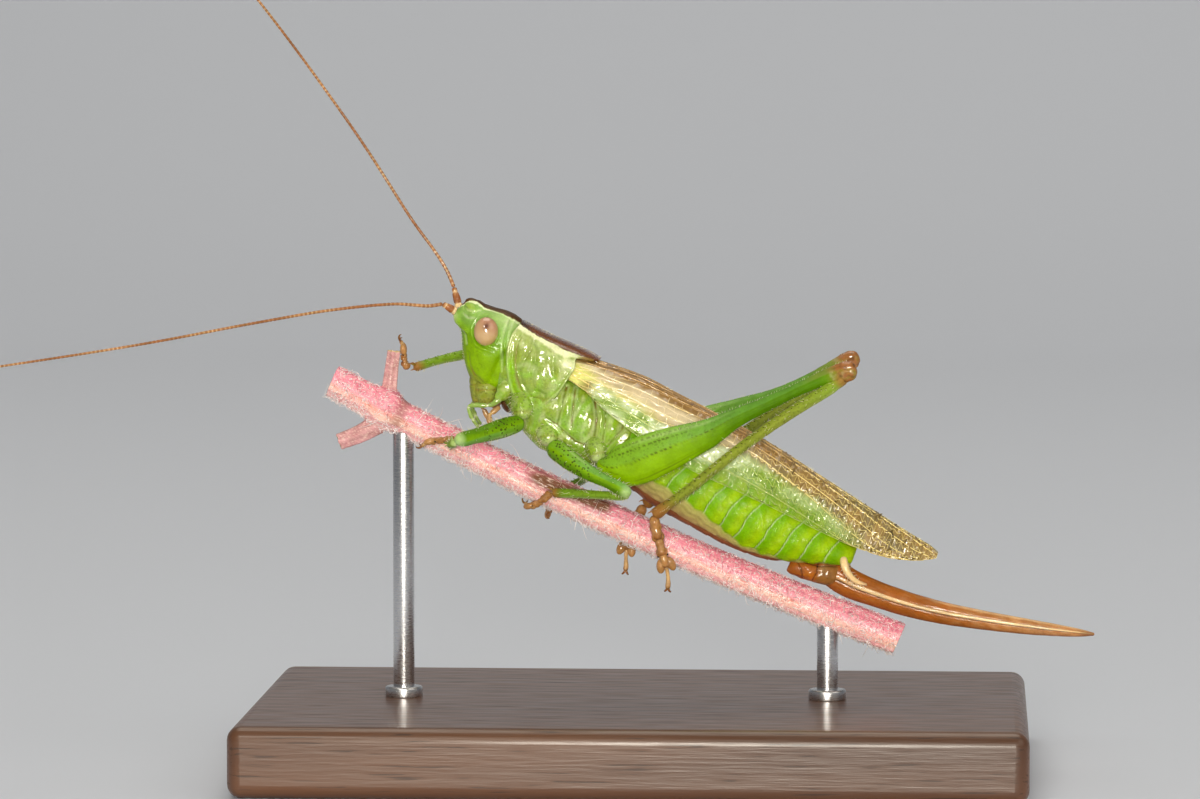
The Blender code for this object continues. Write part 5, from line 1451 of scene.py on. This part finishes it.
def wing_net(name, side):
    """Makes one forewing: rows of six-sided cells between raised veins."""
    places = wing_columns()
    columns, deep = len(places) - 1, ceil(wing_depth(places).max() / WING_ROW)
    rng = np.random.default_rng(11 + side)
    mesh = bmesh.new()
    labels = list(wing_marks(*np.zeros((2, 1)), np.zeros((1, 3)))) + ["vein"]
    uv, _ = open_layers(mesh, labels)
    made = bmesh.ops.create_grid(mesh, x_segments=columns, y_segments=deep, size=0.5)["verts"]
    # Rows of six-sided cells run parallel to the midline, and the lower edge cuts them off.
    order = {}
    for vert in made:
        column, row = round((vert.co.x + 0.5) * columns), round((vert.co.y + 0.5) * deep)
        order[vert] = (column, row)
        x, down = places[column], row * WING_ROW
        if row > 0 and 0 < column < columns:
            zigzag = np.interp(x, [0.0, 5.0], [0.04, 0.24]) * (1 if (column + row) % 2 else -1)
            down += (zigzag + rng.uniform(-0.14, 0.14)) * WING_ROW
            x += rng.uniform(-0.25, 0.25) * (places[column] - places[column - 1])
        vert.co = (x, down, 0.0)
    cross = []
    for edge in mesh.edges:
        (first, low), (second, high) = (order[vert] for vert in edge.verts)
        if first == second and 0 < first < columns and (first + min(low, high)) % 2:
            cross.append(edge)
    bmesh.ops.dissolve_edges(mesh, edges=cross, use_verts=False)
    flat = np.array([vert.co[:2] for vert in mesh.verts])
    for vert, limit in zip(mesh.verts, wing_depth(flat[:, 0])):
        vert.co.y = min(vert.co.y, limit)
    bmesh.ops.remove_doubles(mesh, verts=mesh.verts, dist=0.004)
    slivers = [face for face in mesh.faces if face.calc_area() < 0.003]
    bmesh.ops.delete(mesh, geom=slivers, context="FACES")
    net, cells = set(mesh.verts), list(mesh.faces)
    bmesh.ops.inset_individual(mesh, faces=cells, thickness=0.026)
    bmesh.ops.inset_individual(mesh, faces=cells, thickness=0.018)
    tilt = {}
    for face in cells:
        middle = face.calc_center_median()
        lean = rng.normal(0, 0.2, 2) * (0.2 + 0.8 * smooth(0, 4, middle.x)) * smooth(0.1, 0.5, middle.y)
        for vert in face.verts:
            tilt[vert] = float((vert.co.x - middle.x) * lean[0] + (vert.co.y - middle.y) * lean[1])
    bmesh.ops.poke(mesh, faces=cells)
    for face in mesh.faces:
        for loop in face.loops:
            loop[uv].uv = loop.vert.co.xy
    verts = list(mesh.verts)
    flat = np.array([vert.co[:2] for vert in verts])
    x, share = flat[:, 0], unit(flat[:, 1] / wing_depth(flat[:, 0]))
    points = wing_place(x, share, side)
    marks = wing_marks(x, share, points)
    marks["vein"] = np.array([1.0 if vert in net else 0.0 for vert in verts])
    rise = (0.022 * marks["vein"] + np.array([tilt.get(vert, 0.0) for vert in verts])
        + 0.02 * ripple(points * (0.3, 1, 1), 0.5))
    layers = [(mesh.verts.layers.float[label], values) for label, values in marks.items()]
    for index, (vert, point) in enumerate(zip(verts, lay(points))):
        vert.co = point
        for layer, values in layers:
            vert[layer] = values[index]
    bmesh.ops.recalc_face_normals(mesh, faces=mesh.faces)
    outward = sum(face.normal.y * side * face.calc_area() for face in mesh.faces)
    if outward < 0:
        bmesh.ops.reverse_faces(mesh, faces=mesh.faces)
    for vert in verts:
        vert.normal_update()
    moves = [vert.normal * (lift * MM) for vert, lift in zip(verts, rise)]
    for vert, move in zip(verts, moves):
        vert.co += move
    piece = finish_piece(f"wing_net_{name}", mesh, "wing_skin", "wing", f"forewing_{name}")
    shell = piece.modifiers.new("membrane", "SOLIDIFY")
    shell.thickness = 0.03 * MM
    shell.offset = -1


def wing_veins(name, side):
    """Makes the long veins of one forewing."""
    mesh = bmesh.new()
    for line, size in VEINS:
        line_x = np.linspace(line[0][0], line[-1][0], 26)
        line_share = at(line, line_x)[:, 0]
        places_on = wing_place(line_x, line_share, side)
        taper = np.interp(line_x, [line[0][0], line[-1][0]], [1.15, 0.7]) * size
        rows = [(*place, width, width) for place, width in zip(places_on, taper)]

        def dress(along, angle, points, line=line):
            x = points[:, 0]
            marks = wing_marks(x, at(line, x)[:, 0], points)
            marks["vein"] = 1.0
            marks["streak"] = marks["fog"] = 0.0
            return 0.0, marks
        tube(mesh, rows, 1, 170, 6, (1.0, 1.0), dress)
    finish_piece(f"wing_veins_{name}", mesh, "wing_skin", "wing")


def hindwing_fan(name, side):
    """Makes one folded, pleated hindwing."""
    def folded(u, v):
        x = HINDWING[0][0] + (HINDWING[-1][0] - HINDWING[0][0]) * u
        top, half = at(HINDWING, x).T
        shut = np.sqrt(unit(np.minimum(u, 1 - u) / 0.01))
        across, upward = oval(2 * pi * v, 3.0)
        reach = (0.06 + half) / 2 + (half - 0.06) / 2 * across * shut
        points = np.stack((x, side * reach, top - 0.21 + 0.21 * upward * shut), -1)
        pleat = np.cos(reach / half * 26)
        return points, 0.02 * pleat * shut, {"cream": 0.5 + 0.3 * pleat, "vein": 0.5 - 0.5 * pleat,
            "tan": 0.3}
    mesh = bmesh.new()
    bent_grid(mesh, 120, 120, folded, (13.0, 2.4))
    finish_piece(f"hindwing_fan_{name}", mesh, "wing_skin", "wing", f"hindwing_{name}")


class KATYDID_OT_wings(bpy.types.Operator):
    """Build the veined forewings and the pleated hindwings under them"""
    bl_idname = "katydid.wings"
    bl_label = "Wings"

    def execute(self, context):
        for name, side in SIDES.items():
            wing_net(name, side)
            wing_veins(name, side)
            hindwing_fan(name, side)
        return {"FINISHED"}


# ---------------------------------------------------------------- stem and hairs

UPPER_STALK = [(-12.0, 0.0, 0.4, 0.36, 0.36), (-12.3, 0.0, 1.4, 0.3, 0.3),
    (-12.52, 0.0, 2.1, 0.27, 0.27), (-12.72, 0.0, 2.78, 0.26, 0.26)]
LOWER_STALK = [(-12.05, 0.0, -0.3, 0.44, 0.44), (-12.6, 0.0, -1.05, 0.37, 0.37),
    (-13.3, 0.0, -1.75, 0.33, 0.33)]


HAIR_PATCH = 0.003         # side of one hair's patch on the unwrap


def stem_radius(x, angle):
    """The stem's radius, with its knotted node and low ridges along it."""
    swelling = (NODE_RADIUS - PERCH_RADIUS) * bell(x - NODE_AT, 0.55)
    ridges = (0.03 * np.cos(3 * (angle + 0.035 * x) + 0.6) + 0.018 * np.cos(5 * (angle - 0.02 * x))
        + 0.012 * np.cos(9 * angle + 0.1 * x))
    gully = (-0.07 * bell((np.mod(angle, 2 * pi) - radians(144)) / 0.32, 1.0)
        * bell((x + 3.4) / 1.8, 1.0))
    return PERCH_RADIUS - 0.05 + swelling + ridges + gully


def stem_marks(x, angle, points):
    """Pink above, a cream and orange rib along the side, paler below, dark brown at spots by the node, and
    painted shade in the groove under the insect.
    """
    side = np.abs(np.mod(angle - pi / 2 + pi, 2 * pi) - pi)
    wave = 0.12 * ripple(np.stack((x * 0.3, side, 0 * x), -1), 0.5)
    rib = bell(side - radians(112) + wave, 0.24)
    # The groove under the insect's body is coloured dark: painted shade.
    gully = (bell(np.mod(angle, 2 * pi) - np.radians(np.interp(x, (-5.0, -1.8), (152, 136))), 0.5)
        * smooth(-5.8, -4.6, x) * smooth(-1.3, -1.9, x + 0.1 * wave))
    below = smooth(radians(118), radians(150), side + wave)
    return {"rib": rib * (0.55 + 0.35 * ripple(np.stack((x * 0.25, angle, 0 * x), -1), 0.35, 7)),
        "orange": unit(bell(side - radians(98) + wave, 0.16)
        * (0.4 + 0.6 * ripple(np.stack((x * 0.2, angle, 0 * x), -1), 0.3, 2))),
        "deep": smooth(radians(95), radians(50), side + wave) * (0.7 + 0.3 * ripple(points, 0.5)),
        "below": below, "hollow": unit(1.5 * gully + 0.6 * bell(x + 11.35, 0.3) * (side < 2.2)
        + 0.4 * bell(x + 9.6, 0.16) * (side < 1.9))}


def place_on_stem(x, angle, radius):
    return np.stack((x, radius * np.cos(angle), perch_height(x) + radius * np.sin(angle)), -1)


class KATYDID_OT_perch(bpy.types.Operator):
    """Build the cut length of stem with its node and leaf stalks"""
    bl_idname = "katydid.perch"
    bl_label = "Stem"

    def execute(self, context):
        columns, cap = 460, 10

        def shape(u, v):
            index = np.rint(u * columns)
            x = np.interp(index, [cap, columns - cap], [PERCH_START, PERCH_END])
            share = unit(np.minimum(index, columns - index) / cap)
            angle = 2 * pi * v - pi / 2
            points = place_on_stem(x, angle, stem_radius(x, angle) * share)
            relief = (0.02 * ripple(points * (0.35, 1, 1), 0.22) + 0.01 * ripple(points, 0.09, 4)) * (
                share == 1) + 0.03 * (share < 0.95) * (share > 0.4) * ripple(points, 0.1)
            marks = stem_marks(x, angle, points)
            marks["cut"] = (share < 0.98) * 1.0
            marks["pith"] = smooth(0.55, 0.4, share)
            return points, relief, marks

        mesh = bmesh.new()
        bent_grid(mesh, columns, 84, shape, (26.5, 4.6))

        def stalk_dress(share, angle, points):
            x = points[:, 0]
            marks = {name: 0.0 * x for name in stem_marks(x, angle, points)}
            marks.update(hollow=0.35 + 0.25 * ripple(points, 0.3), cut=1.0 * (share > 0.985),
                pith=1.0 * (share > 0.999), below=0.6 + 0 * x)
            return 0.03 * np.cos(5 * angle) + 0.012 * ripple(points, 0.12), marks
        for stalk in (UPPER_STALK, LOWER_STALK):
            tube(mesh, stalk, 1, 90, 36, (0.2, 0.12), stalk_dress)
        finish_piece("stem", mesh, "stem_skin", "stem", "perch")
        return {"FINISHED"}


def hair_piece(name, roots, ways, bends, lengths, widths, unwrap, marks, skin, steps):
    """Adds many thin, curved, tapering hairs as one closed mesh.

    Each hair leaves its root along its way and swings round by its bend. unwrap gives the place of
    each root on an unwrap of the surface, where the hair's own patch lies.
    """
    count = len(roots)
    t = np.linspace(0, 1, steps)[None, :, None]
    roots, ways, bends = (np.asarray(part, float)[:, None, :] for part in (roots, ways, bends))
    reach = np.asarray(lengths, float)[:, None, None]
    centres = roots + reach * (ways * t + bends * t**2)
    ahead = np.gradient(centres, axis=1)
    ahead /= np.linalg.norm(ahead, axis=2, keepdims=True)
    spare = np.cross(ahead, bends + (0.013, 0.021, 0.017))
    spare /= np.linalg.norm(spare, axis=2, keepdims=True)
    other = np.cross(ahead, spare)
    size = np.asarray(widths, float)[:, None, None] / 2 * (1 - 0.8 * t)
    turns = 2 * pi * np.arange(3) / 3
    spots = (centres[:, :, None] + size[:, :, None] * (np.cos(turns)[:, None] * spare[:, :, None]
        + np.sin(turns)[:, None] * other[:, :, None]))
    rows = np.arange(steps - 1)[:, None] * 3
    corner = np.arange(3)[None, :]
    after = (corner + 1) % 3
    quads = np.stack((rows + corner, rows + after, rows + 3 + after, rows + 3 + corner), -1).reshape(-1, 4)
    per_hair = steps * 3
    base = np.arange(count)[:, None, None] * per_hair
    quads = (quads[None] + base).reshape(-1, 4)
    ends = (np.array([[2, 1, 0], [per_hair - 3, per_hair - 2, per_hair - 1]])[None] + base).reshape(-1, 3)
    data = bpy.data.meshes.new(name)
    data.from_pydata(lay(spots.reshape(-1, 3)), [], quads.tolist() + ends.tolist())
    patch = np.stack(np.broadcast_arrays(corner / 2 * HAIR_PATCH, np.arange(steps)[:, None] / steps
        * HAIR_PATCH), -1)
    spread = (np.asarray(unwrap, float)[:, None, None] * 0.99 + patch[None]).reshape(-1, 2)
    corners = np.empty(len(data.loops), dtype=np.int32)
    data.loops.foreach_get("vertex_index", corners)
    data.uv_layers.new(name="OFBake").data.foreach_set("uv", spread[corners].ravel().astype(np.float32))
    for label, values in marks.items():
        layer = data.attributes.new(label, "FLOAT", "POINT")
        layer.data.foreach_set("value", np.repeat(values, per_hair).astype(np.float32))
    data.shade_smooth()
    piece = bpy.data.objects.new(name, data)
    bpy.context.scene.collection.objects.link(piece)
    data.materials.append(bpy.data.materials[skin])
    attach(piece, "root")


class CoatSettings(bpy.types.PropertyGroup):
    """How woolly the stem and how hairy the insect is"""
    wool: IntProperty(name="Wool", description="Number of short hairs in each layer on the stem",
        default=8200, min=0, max=9000)
    curls: IntProperty(name="Curls", description="Number of longer curled hairs on the stem",
        default=1700, min=0, max=4000)
    wool_length: FloatProperty(name="Wool length", description="Mean length of the short hairs",
        default=0.00026, unit="LENGTH")
    curl_length: FloatProperty(name="Curl length", description="Mean length of the curled hairs",
        default=0.00082, unit="LENGTH")
    width: FloatProperty(name="Hair width", description="Width of a hair at its root",
        default=0.000033, unit="LENGTH")


def stem_hairs(name, count, mean, width, seed):
    """Makes one layer of hairs on the stem, bare at the dark brown spots and the painted shade in the
    groove.
    """
    rng = np.random.default_rng(seed)
    x = rng.uniform(PERCH_START + 0.1, PERCH_END - 0.1, count)
    angle = rng.uniform(0, 2 * pi, count)
    if name == "curls":
        low = rng.random(count) < 0.55
        angle = np.where(low, rng.normal(1.5 * pi, 0.6, count), angle)
    out = np.stack((0 * x, np.cos(angle), np.sin(angle)), -1)
    along = np.array([1.0, 0, 0]) + 0 * out
    around = np.cross(along, out)
    roots = place_on_stem(x, angle, stem_radius(x, angle) - 0.01)
    swing = rng.normal(0.3, 0.9, count)[:, None]
    lie = along * np.cos(swing) * rng.choice((-1, 1), (count, 1), p=(0.3, 0.7)) + around * np.sin(swing)
    stand = {"wool": rng.uniform(0.15, 0.7, count), "fuzz": rng.uniform(0.5, 1.5, count),
        "curls": rng.uniform(0.5, 1.2, count), "strays": rng.uniform(0.9, 1.6, count)}[name][:, None]
    ways = lie + out * stand
    ways /= np.linalg.norm(ways, axis=1)[:, None]
    back = {"wool": 0.6, "fuzz": 0.5, "curls": 1.0, "strays": 0.35}[name]
    bends = (-out * stand * back - lie * back * 0.9 * rng.uniform(0.3, 1.2, count)[:, None]
        + around * rng.normal(0, 0.35, count)[:, None])
    lengths = mean * rng.uniform(0.6, 1.5, count)
    marks = stem_marks(x, angle, roots)
    marks["tone"] = rng.random(count) if name in ("wool", "fuzz") else rng.uniform(0.6, 1.0, count)
    spots = np.stack(((x - PERCH_START) / (PERCH_END - PERCH_START), np.mod(angle / (2 * pi), 1)), -1)
    kept = rng.random(count) > 2.2 * marks["hollow"]
    marks = {label: values[kept] for label, values in marks.items()}
    hair_piece(f"stem_{name}", roots[kept], ways[kept], bends[kept], lengths[kept],
        (width * rng.uniform(0.8, 1.3, count))[kept], spots[kept], marks, "wool_skin",
        4 if name in ("wool", "fuzz") else 8)


class KATYDID_OT_wool(bpy.types.Operator):
    """Cover the stem with short matted wool, curls and a few long stray hairs"""
    bl_idname = "katydid.wool"
    bl_label = "Stem wool"

    def execute(self, context):
        coat = context.scene.katydid_coat
        for name, count, mean, seed in (("wool", coat.wool, coat.wool_length / MM, 3),
                ("fuzz", coat.wool, coat.wool_length / MM * 0.7, 4),
                ("curls", coat.curls, coat.curl_length / MM, 5), ("strays", 60, 0.95, 8)):
            stem_hairs(name, count, mean, coat.width / MM, seed)
        return {"FINISHED"}


def limb_hairs(rng, stations, side, low, high, spacing, downs, length):
    """Roots, ways, bends and lengths of a fringe along a limb, leaning towards its tip."""
    path, sizes = Path(stations, side), by_reach(stations)
    count = max(2, int(path.length * (high - low) / spacing))
    found = []
    for share in np.linspace(low, high, count) + rng.normal(0, 0.15 / count, count):
        here, run, width_way, depth_way = path.at(float(np.clip(share, 0.01, 0.98)))
        half, depth = at(sizes, np.array([share]))[0, 3:5]
        for middle, spread in downs:
            turn = middle + rng.normal(0, spread)
            out = width_way * cos(turn) + depth_way * sin(turn)
            root = here + width_way * cos(turn) * half * 0.97 + depth_way * sin(turn) * depth * 0.97
            way = out + run * rng.uniform(0.1, 0.7) + rng.normal(0, 0.15, 3)
            found.append((root, way / np.linalg.norm(way), run * 0.25, length * rng.uniform(0.6, 1.4),
                (share, turn / (2 * pi) % 1)))
    return found


def scattered_hairs(rng, side):
    """Hairs along the top of the wings and shield, and down the face and the chest."""
    found = []
    for _ in range(150):
        x = rng.uniform(-4.2, 11.6)
        root = wing_place(np.array([x]), np.array([rng.uniform(0.02, 0.14)]), side)[0]
        found.append((root, np.array((0.55, 0.1 * side, 0.8)), np.array((0.3, 0, -0.1)),
            rng.uniform(0.07, 0.14), ((x + 6) / 18, 0.3 + 0.1 * side)))
    for _ in range(60):
        x = rng.uniform(-8.3, -4.6)
        y = rng.uniform(0.0, 0.5)
        top = float(read(CREST, x))
        found.append((np.array((x, side * y, top - 0.16 * y - 0.01)), np.array((0.4, 0.15 * side, 0.9)),
            np.array((0.3, 0, -0.1)), rng.uniform(0.06, 0.13), ((x + 9) / 5, 0.5 + 0.1 * side)))
    for _ in range(60):
        z = rng.uniform(3.4, 5.2)
        front = float(face_front(z))
        y = rng.uniform(0.0, 0.55)
        found.append((np.array((front + 0.35 * y * y + 0.02, side * y, z)),
            np.array((-0.9, 0.4 * side * y, 0.1)), np.array((0.1, 0, -0.3)),
            rng.uniform(0.06, 0.12), (z / 8, 0.8 + 0.1 * side)))
    for _ in range(90):
        x = rng.uniform(-6.4, -4.7)
        station = at(THORAX, np.array([x]))
        turn = rng.uniform(-1.35, -0.75)
        y, z = ring(station, np.array([turn]), 2.2, 2.2)
        found.append((np.array((x, side * y[0], z[0])), np.array((-0.25, 0.3 * side, -0.85)),
            np.array((0.25, 0, 0.0)), rng.uniform(0.08, 0.16), ((x + 9) / 8, 0.1 + 0.04 * side)))
    return found


class KATYDID_OT_down(bpy.types.Operator):
    """Add the sparse pale hairs of the legs, chest, face and back"""
    bl_idname = "katydid.down"
    bl_label = "Body hairs"

    def execute(self, context):
        width = context.scene.katydid_coat.width / MM * 0.8
        rng = np.random.default_rng(21)
        found = []
        for name, side in SIDES.items():
            for limb, length in ((FORE_FEMUR[name], 0.15), (MID_FEMUR[name], 0.14)):
                found += limb_hairs(rng, limb, side, 0.1, 0.95, 0.09,
                    ((pi / 2, 0.35), (pi / 2, 0.5), (-pi / 2, 0.4), (pi, 0.9)), length)
            for limb, length in ((FORE_TIBIA[name], 0.15), (MID_TIBIA[name], 0.15),
                    (HIND_TIBIA[name], 0.12)):
                found += limb_hairs(rng, limb, side, 0.05, 0.97, 0.1, ((0.0, 1.5), (pi, 1.5)), length)
            found += limb_hairs(rng, HIND_FEMUR[name], side, 0.02, 0.97, 0.11,
                ((pi / 2, 0.25), (-pi / 2, 0.25)), 0.09)
            for coxa in COXAE.values():
                found += limb_hairs(rng, coxa, side, 0.2, 0.95, 0.05,
                    ((pi, 1.2), (pi / 2, 0.8), (0.0, 1.2)), 0.16)
            found += limb_hairs(rng, CERCUS, side, 0.2, 0.9, 0.07, ((pi / 2, 1.0), (0.0, 1.2)), 0.14)
            found += scattered_hairs(rng, side)
        roots, ways, bends, lengths, spots = (np.array(part) for part in zip(*found))
        hair_piece("body_hairs", roots, ways, bends, lengths,
            width * 0.8 * rng.uniform(0.8, 1.2, len(roots)),
            spots, {"tone": rng.random(len(roots))}, "hair_skin", 4)
        return {"FINISHED"}


# ---------------------------------------------------------------- stand

BASE_SIZE = (33.0, 21.0, 3.0)
BASE_EDGE = 0.6
SMALL_FACE = 2e-5          # the bevel's faces are smaller than this, in square metres
ROD_RADIUS = 0.45
ROD_PLACES = {"front": -10.1, "rear": 8.0}


class KATYDID_OT_stand(bpy.types.Operator):
    """Build the wooden base and the two steel rods that hold up the stem"""
    bl_idname = "katydid.stand"
    bl_label = "Stand"

    def execute(self, context):
        width, depth, height = (size * MM for size in BASE_SIZE)
        mesh = bmesh.new()
        bmesh.ops.create_cube(mesh, size=1.0)
        bmesh.ops.scale(mesh, vec=(width, depth, height), verts=mesh.verts)
        bmesh.ops.translate(mesh, vec=(0.0, 0.0, height / 2), verts=mesh.verts)
        bmesh.ops.bevel(mesh, geom=mesh.edges, offset=BASE_EDGE * MM, segments=6, affect="EDGES",
            profile=0.5, material=-1)
        base = finish_piece("plinth", mesh, "wood_skin", "base_wood", "stand_base")
        base.data.shade_flat()
        for face in base.data.polygons:
            face.use_smooth = face.area < SMALL_FACE
        for name, x in ROD_PLACES.items():
            mesh = bmesh.new()
            top = PERCH_HEIGHT - x * tan(SLOPE) - 0.2
            for radius, low, high in ((ROD_RADIUS, BASE_SIZE[2] - 0.2, top),
                    (ROD_RADIUS + 0.35, BASE_SIZE[2] - 0.05, BASE_SIZE[2] + 0.45)):
                made = bmesh.ops.create_cone(mesh, cap_ends=True, segments=64, radius1=radius * MM,
                    radius2=radius * MM, depth=(high - low) * MM)["verts"]
                bmesh.ops.translate(mesh, vec=(x * MM, 0.0, (high + low) / 2 * MM), verts=made)
                rims = [edge for edge in {edge for vert in made for edge in vert.link_edges}
                    if len({round(vert.co.z, 7) for vert in edge.verts}) == 1]
                bmesh.ops.bevel(mesh, geom=rims, offset=0.1 * MM, segments=3, affect="EDGES",
                    profile=0.5, material=-1)
            finish_piece(f"rod_{name}", mesh, "steel_skin", "steel", f"stand_rod_{name}")
        return {"FINISHED"}


# ---------------------------------------------------------------- stage

class StageSettings(bpy.types.PropertyGroup):
    """Where the camera stands and how strong the lights are"""
    azimuth: FloatProperty(name="Azimuth", description="Turn of the camera round the model",
        default=radians(3.5), subtype="ANGLE")
    elevation: FloatProperty(name="Elevation", description="Height of the camera as an angle",
        default=radians(4.5), subtype="ANGLE")
    distance: FloatProperty(name="Distance", description="From the camera to the point looked at",
        default=0.25, unit="LENGTH")
    target: FloatVectorProperty(name="Target", description="The point that the camera looks at",
        default=(-0.0017, 0.0, 0.01577), subtype="XYZ", unit="LENGTH")
    lens: FloatProperty(name="Lens", description="Focal length in millimetres", default=176.3)
    floor_colour: FloatVectorProperty(name="Floor", description="Colour of floor and backdrop",
        default=(0.66, 0.7, 0.8), size=3, subtype="COLOR")
    light: FloatProperty(name="Light", description="Strength of all the lights", default=1.0, min=0.0)


def soft_light(name, place, aim, size, power, colour, spread=180):
    """An area light at a place in metres, facing the aim."""
    data = bpy.data.lights.new(name, "AREA")
    data.shape = "DISK"
    data.spread = radians(spread)
    data.size = size
    data.energy = power
    data.color = colour
    light = bpy.data.objects.new(name, data)
    light.location = place
    light.rotation_euler = (Vector(aim) - Vector(place)).to_track_quat("-Z", "Y").to_euler()
    bpy.context.scene.collection.objects.link(light)


class KATYDID_OT_stage(bpy.types.Operator):
    """Set up the floor, the soft lights and the camera"""
    bl_idname = "katydid.stage"
    bl_label = "Stage"

    def execute(self, context):
        scene = context.scene
        settings = scene.katydid_stage
        mesh = bmesh.new()
        made = bmesh.ops.create_grid(mesh, x_segments=60, y_segments=60, size=1.2)["verts"]
        for vert in made:
            back = hypot(max(vert.co.y - 0.25, 0.0), max(abs(vert.co.x) - 0.6, 0.0))
            vert.co.z = 1.2 * back * min(back / 0.35, 1.0)
        data = bpy.data.meshes.new("floor")
        mesh.to_mesh(data)
        mesh.free()
        data.shade_smooth()
        floor = bpy.data.objects.new("floor", data)
        scene.collection.objects.link(floor)
        new_material("floor_paper", Roughness=0.9, Base_Color=(*settings.floor_colour, 1.0))
        data.materials.append(bpy.data.materials["floor_paper"])

        aim = settings.target
        warm = (1.0, 0.94, 0.82)
        soft_light("key", (-0.1, -0.3, 0.22), aim, 0.07, 0.16 * settings.light, warm)
        soft_light("flash", (0.008, -0.28, 0.046), aim, 0.09, 0.102 * settings.light, warm, 70)
        soft_light("fill", (0.3, -0.2, 0.25), aim, 0.35, 0.26 * settings.light, warm)
        soft_light("top", (0.0, 0.12, 0.45), aim, 0.4, 0.9 * settings.light, warm)
        world = bpy.data.worlds.new("soft_room")
        world.use_nodes = True
        world.node_tree.nodes["Background"].inputs["Color"].default_value = (1.0, 0.97, 0.86, 1.0)
        world.node_tree.nodes["Background"].inputs["Strength"].default_value = 0.22
        scene.world = world
        scene.view_settings.view_transform = "Standard"

        turn, lift = settings.azimuth, settings.elevation
        look = Vector((-sin(turn) * cos(lift), cos(turn) * cos(lift), -sin(lift)))
        data = bpy.data.cameras.new("camera")
        data.lens = settings.lens
        data.clip_start = 0.01
        camera = bpy.data.objects.new("camera", data)
        camera.location = Vector(settings.target) - settings.distance * look
        camera.rotation_euler = look.to_track_quat("-Z", "Y").to_euler()
        scene.collection.objects.link(camera)
        scene.camera = camera
        return {"FINISHED"}


class KATYDID_OT_finishes(bpy.types.Operator):
    """Make the procedural materials of every surface"""
    bl_idname = "katydid.finishes"
    bl_label = "Finishes"

    def execute(self, context):
        make_materials()
        return {"FINISHED"}


class KATYDID_PT_panel(bpy.types.Panel):
    """Lists the steps that build the model, with their settings"""
    bl_idname = "KATYDID_PT_panel"
    bl_label = "Meadow katydid"
    bl_space_type = "VIEW_3D"
    bl_region_type = "UI"
    bl_category = "Katydid"

    def draw(self, context):
        layout = self.layout
        for item in CLASSES:
            if issubclass(item, bpy.types.Operator):
                layout.operator(item.bl_idname)
        for title, group in (("Coat", context.scene.katydid_coat),
                ("Stage", context.scene.katydid_stage)):
            box = layout.box()
            box.label(text=title)
            for name in group.__annotations__:
                box.prop(group, name)


CLASSES = (CoatSettings, StageSettings, KATYDID_OT_finishes, KATYDID_OT_head, KATYDID_OT_eyes,
    KATYDID_OT_pronotum, KATYDID_OT_thorax, KATYDID_OT_abdomen, KATYDID_OT_legs,
    KATYDID_OT_mouth, KATYDID_OT_feelers, KATYDID_OT_tail, KATYDID_OT_wings,
    KATYDID_OT_perch, KATYDID_OT_wool, KATYDID_OT_down, KATYDID_OT_stand, KATYDID_OT_stage,
    KATYDID_PT_panel)


def register():
    for item in CLASSES:
        bpy.utils.register_class(item)
    bpy.types.Scene.katydid_coat = PointerProperty(type=CoatSettings)
    bpy.types.Scene.katydid_stage = PointerProperty(type=StageSettings)


def unregister():
    del bpy.types.Scene.katydid_stage
    del bpy.types.Scene.katydid_coat
    for item in reversed(CLASSES):
        bpy.utils.unregister_class(item)


def main():
    register()
    for item in CLASSES:
        if issubclass(item, bpy.types.Operator):
            space, name = item.bl_idname.split(".")
            getattr(getattr(bpy.ops, space), name)()


if __name__ == "__main__":
    main()
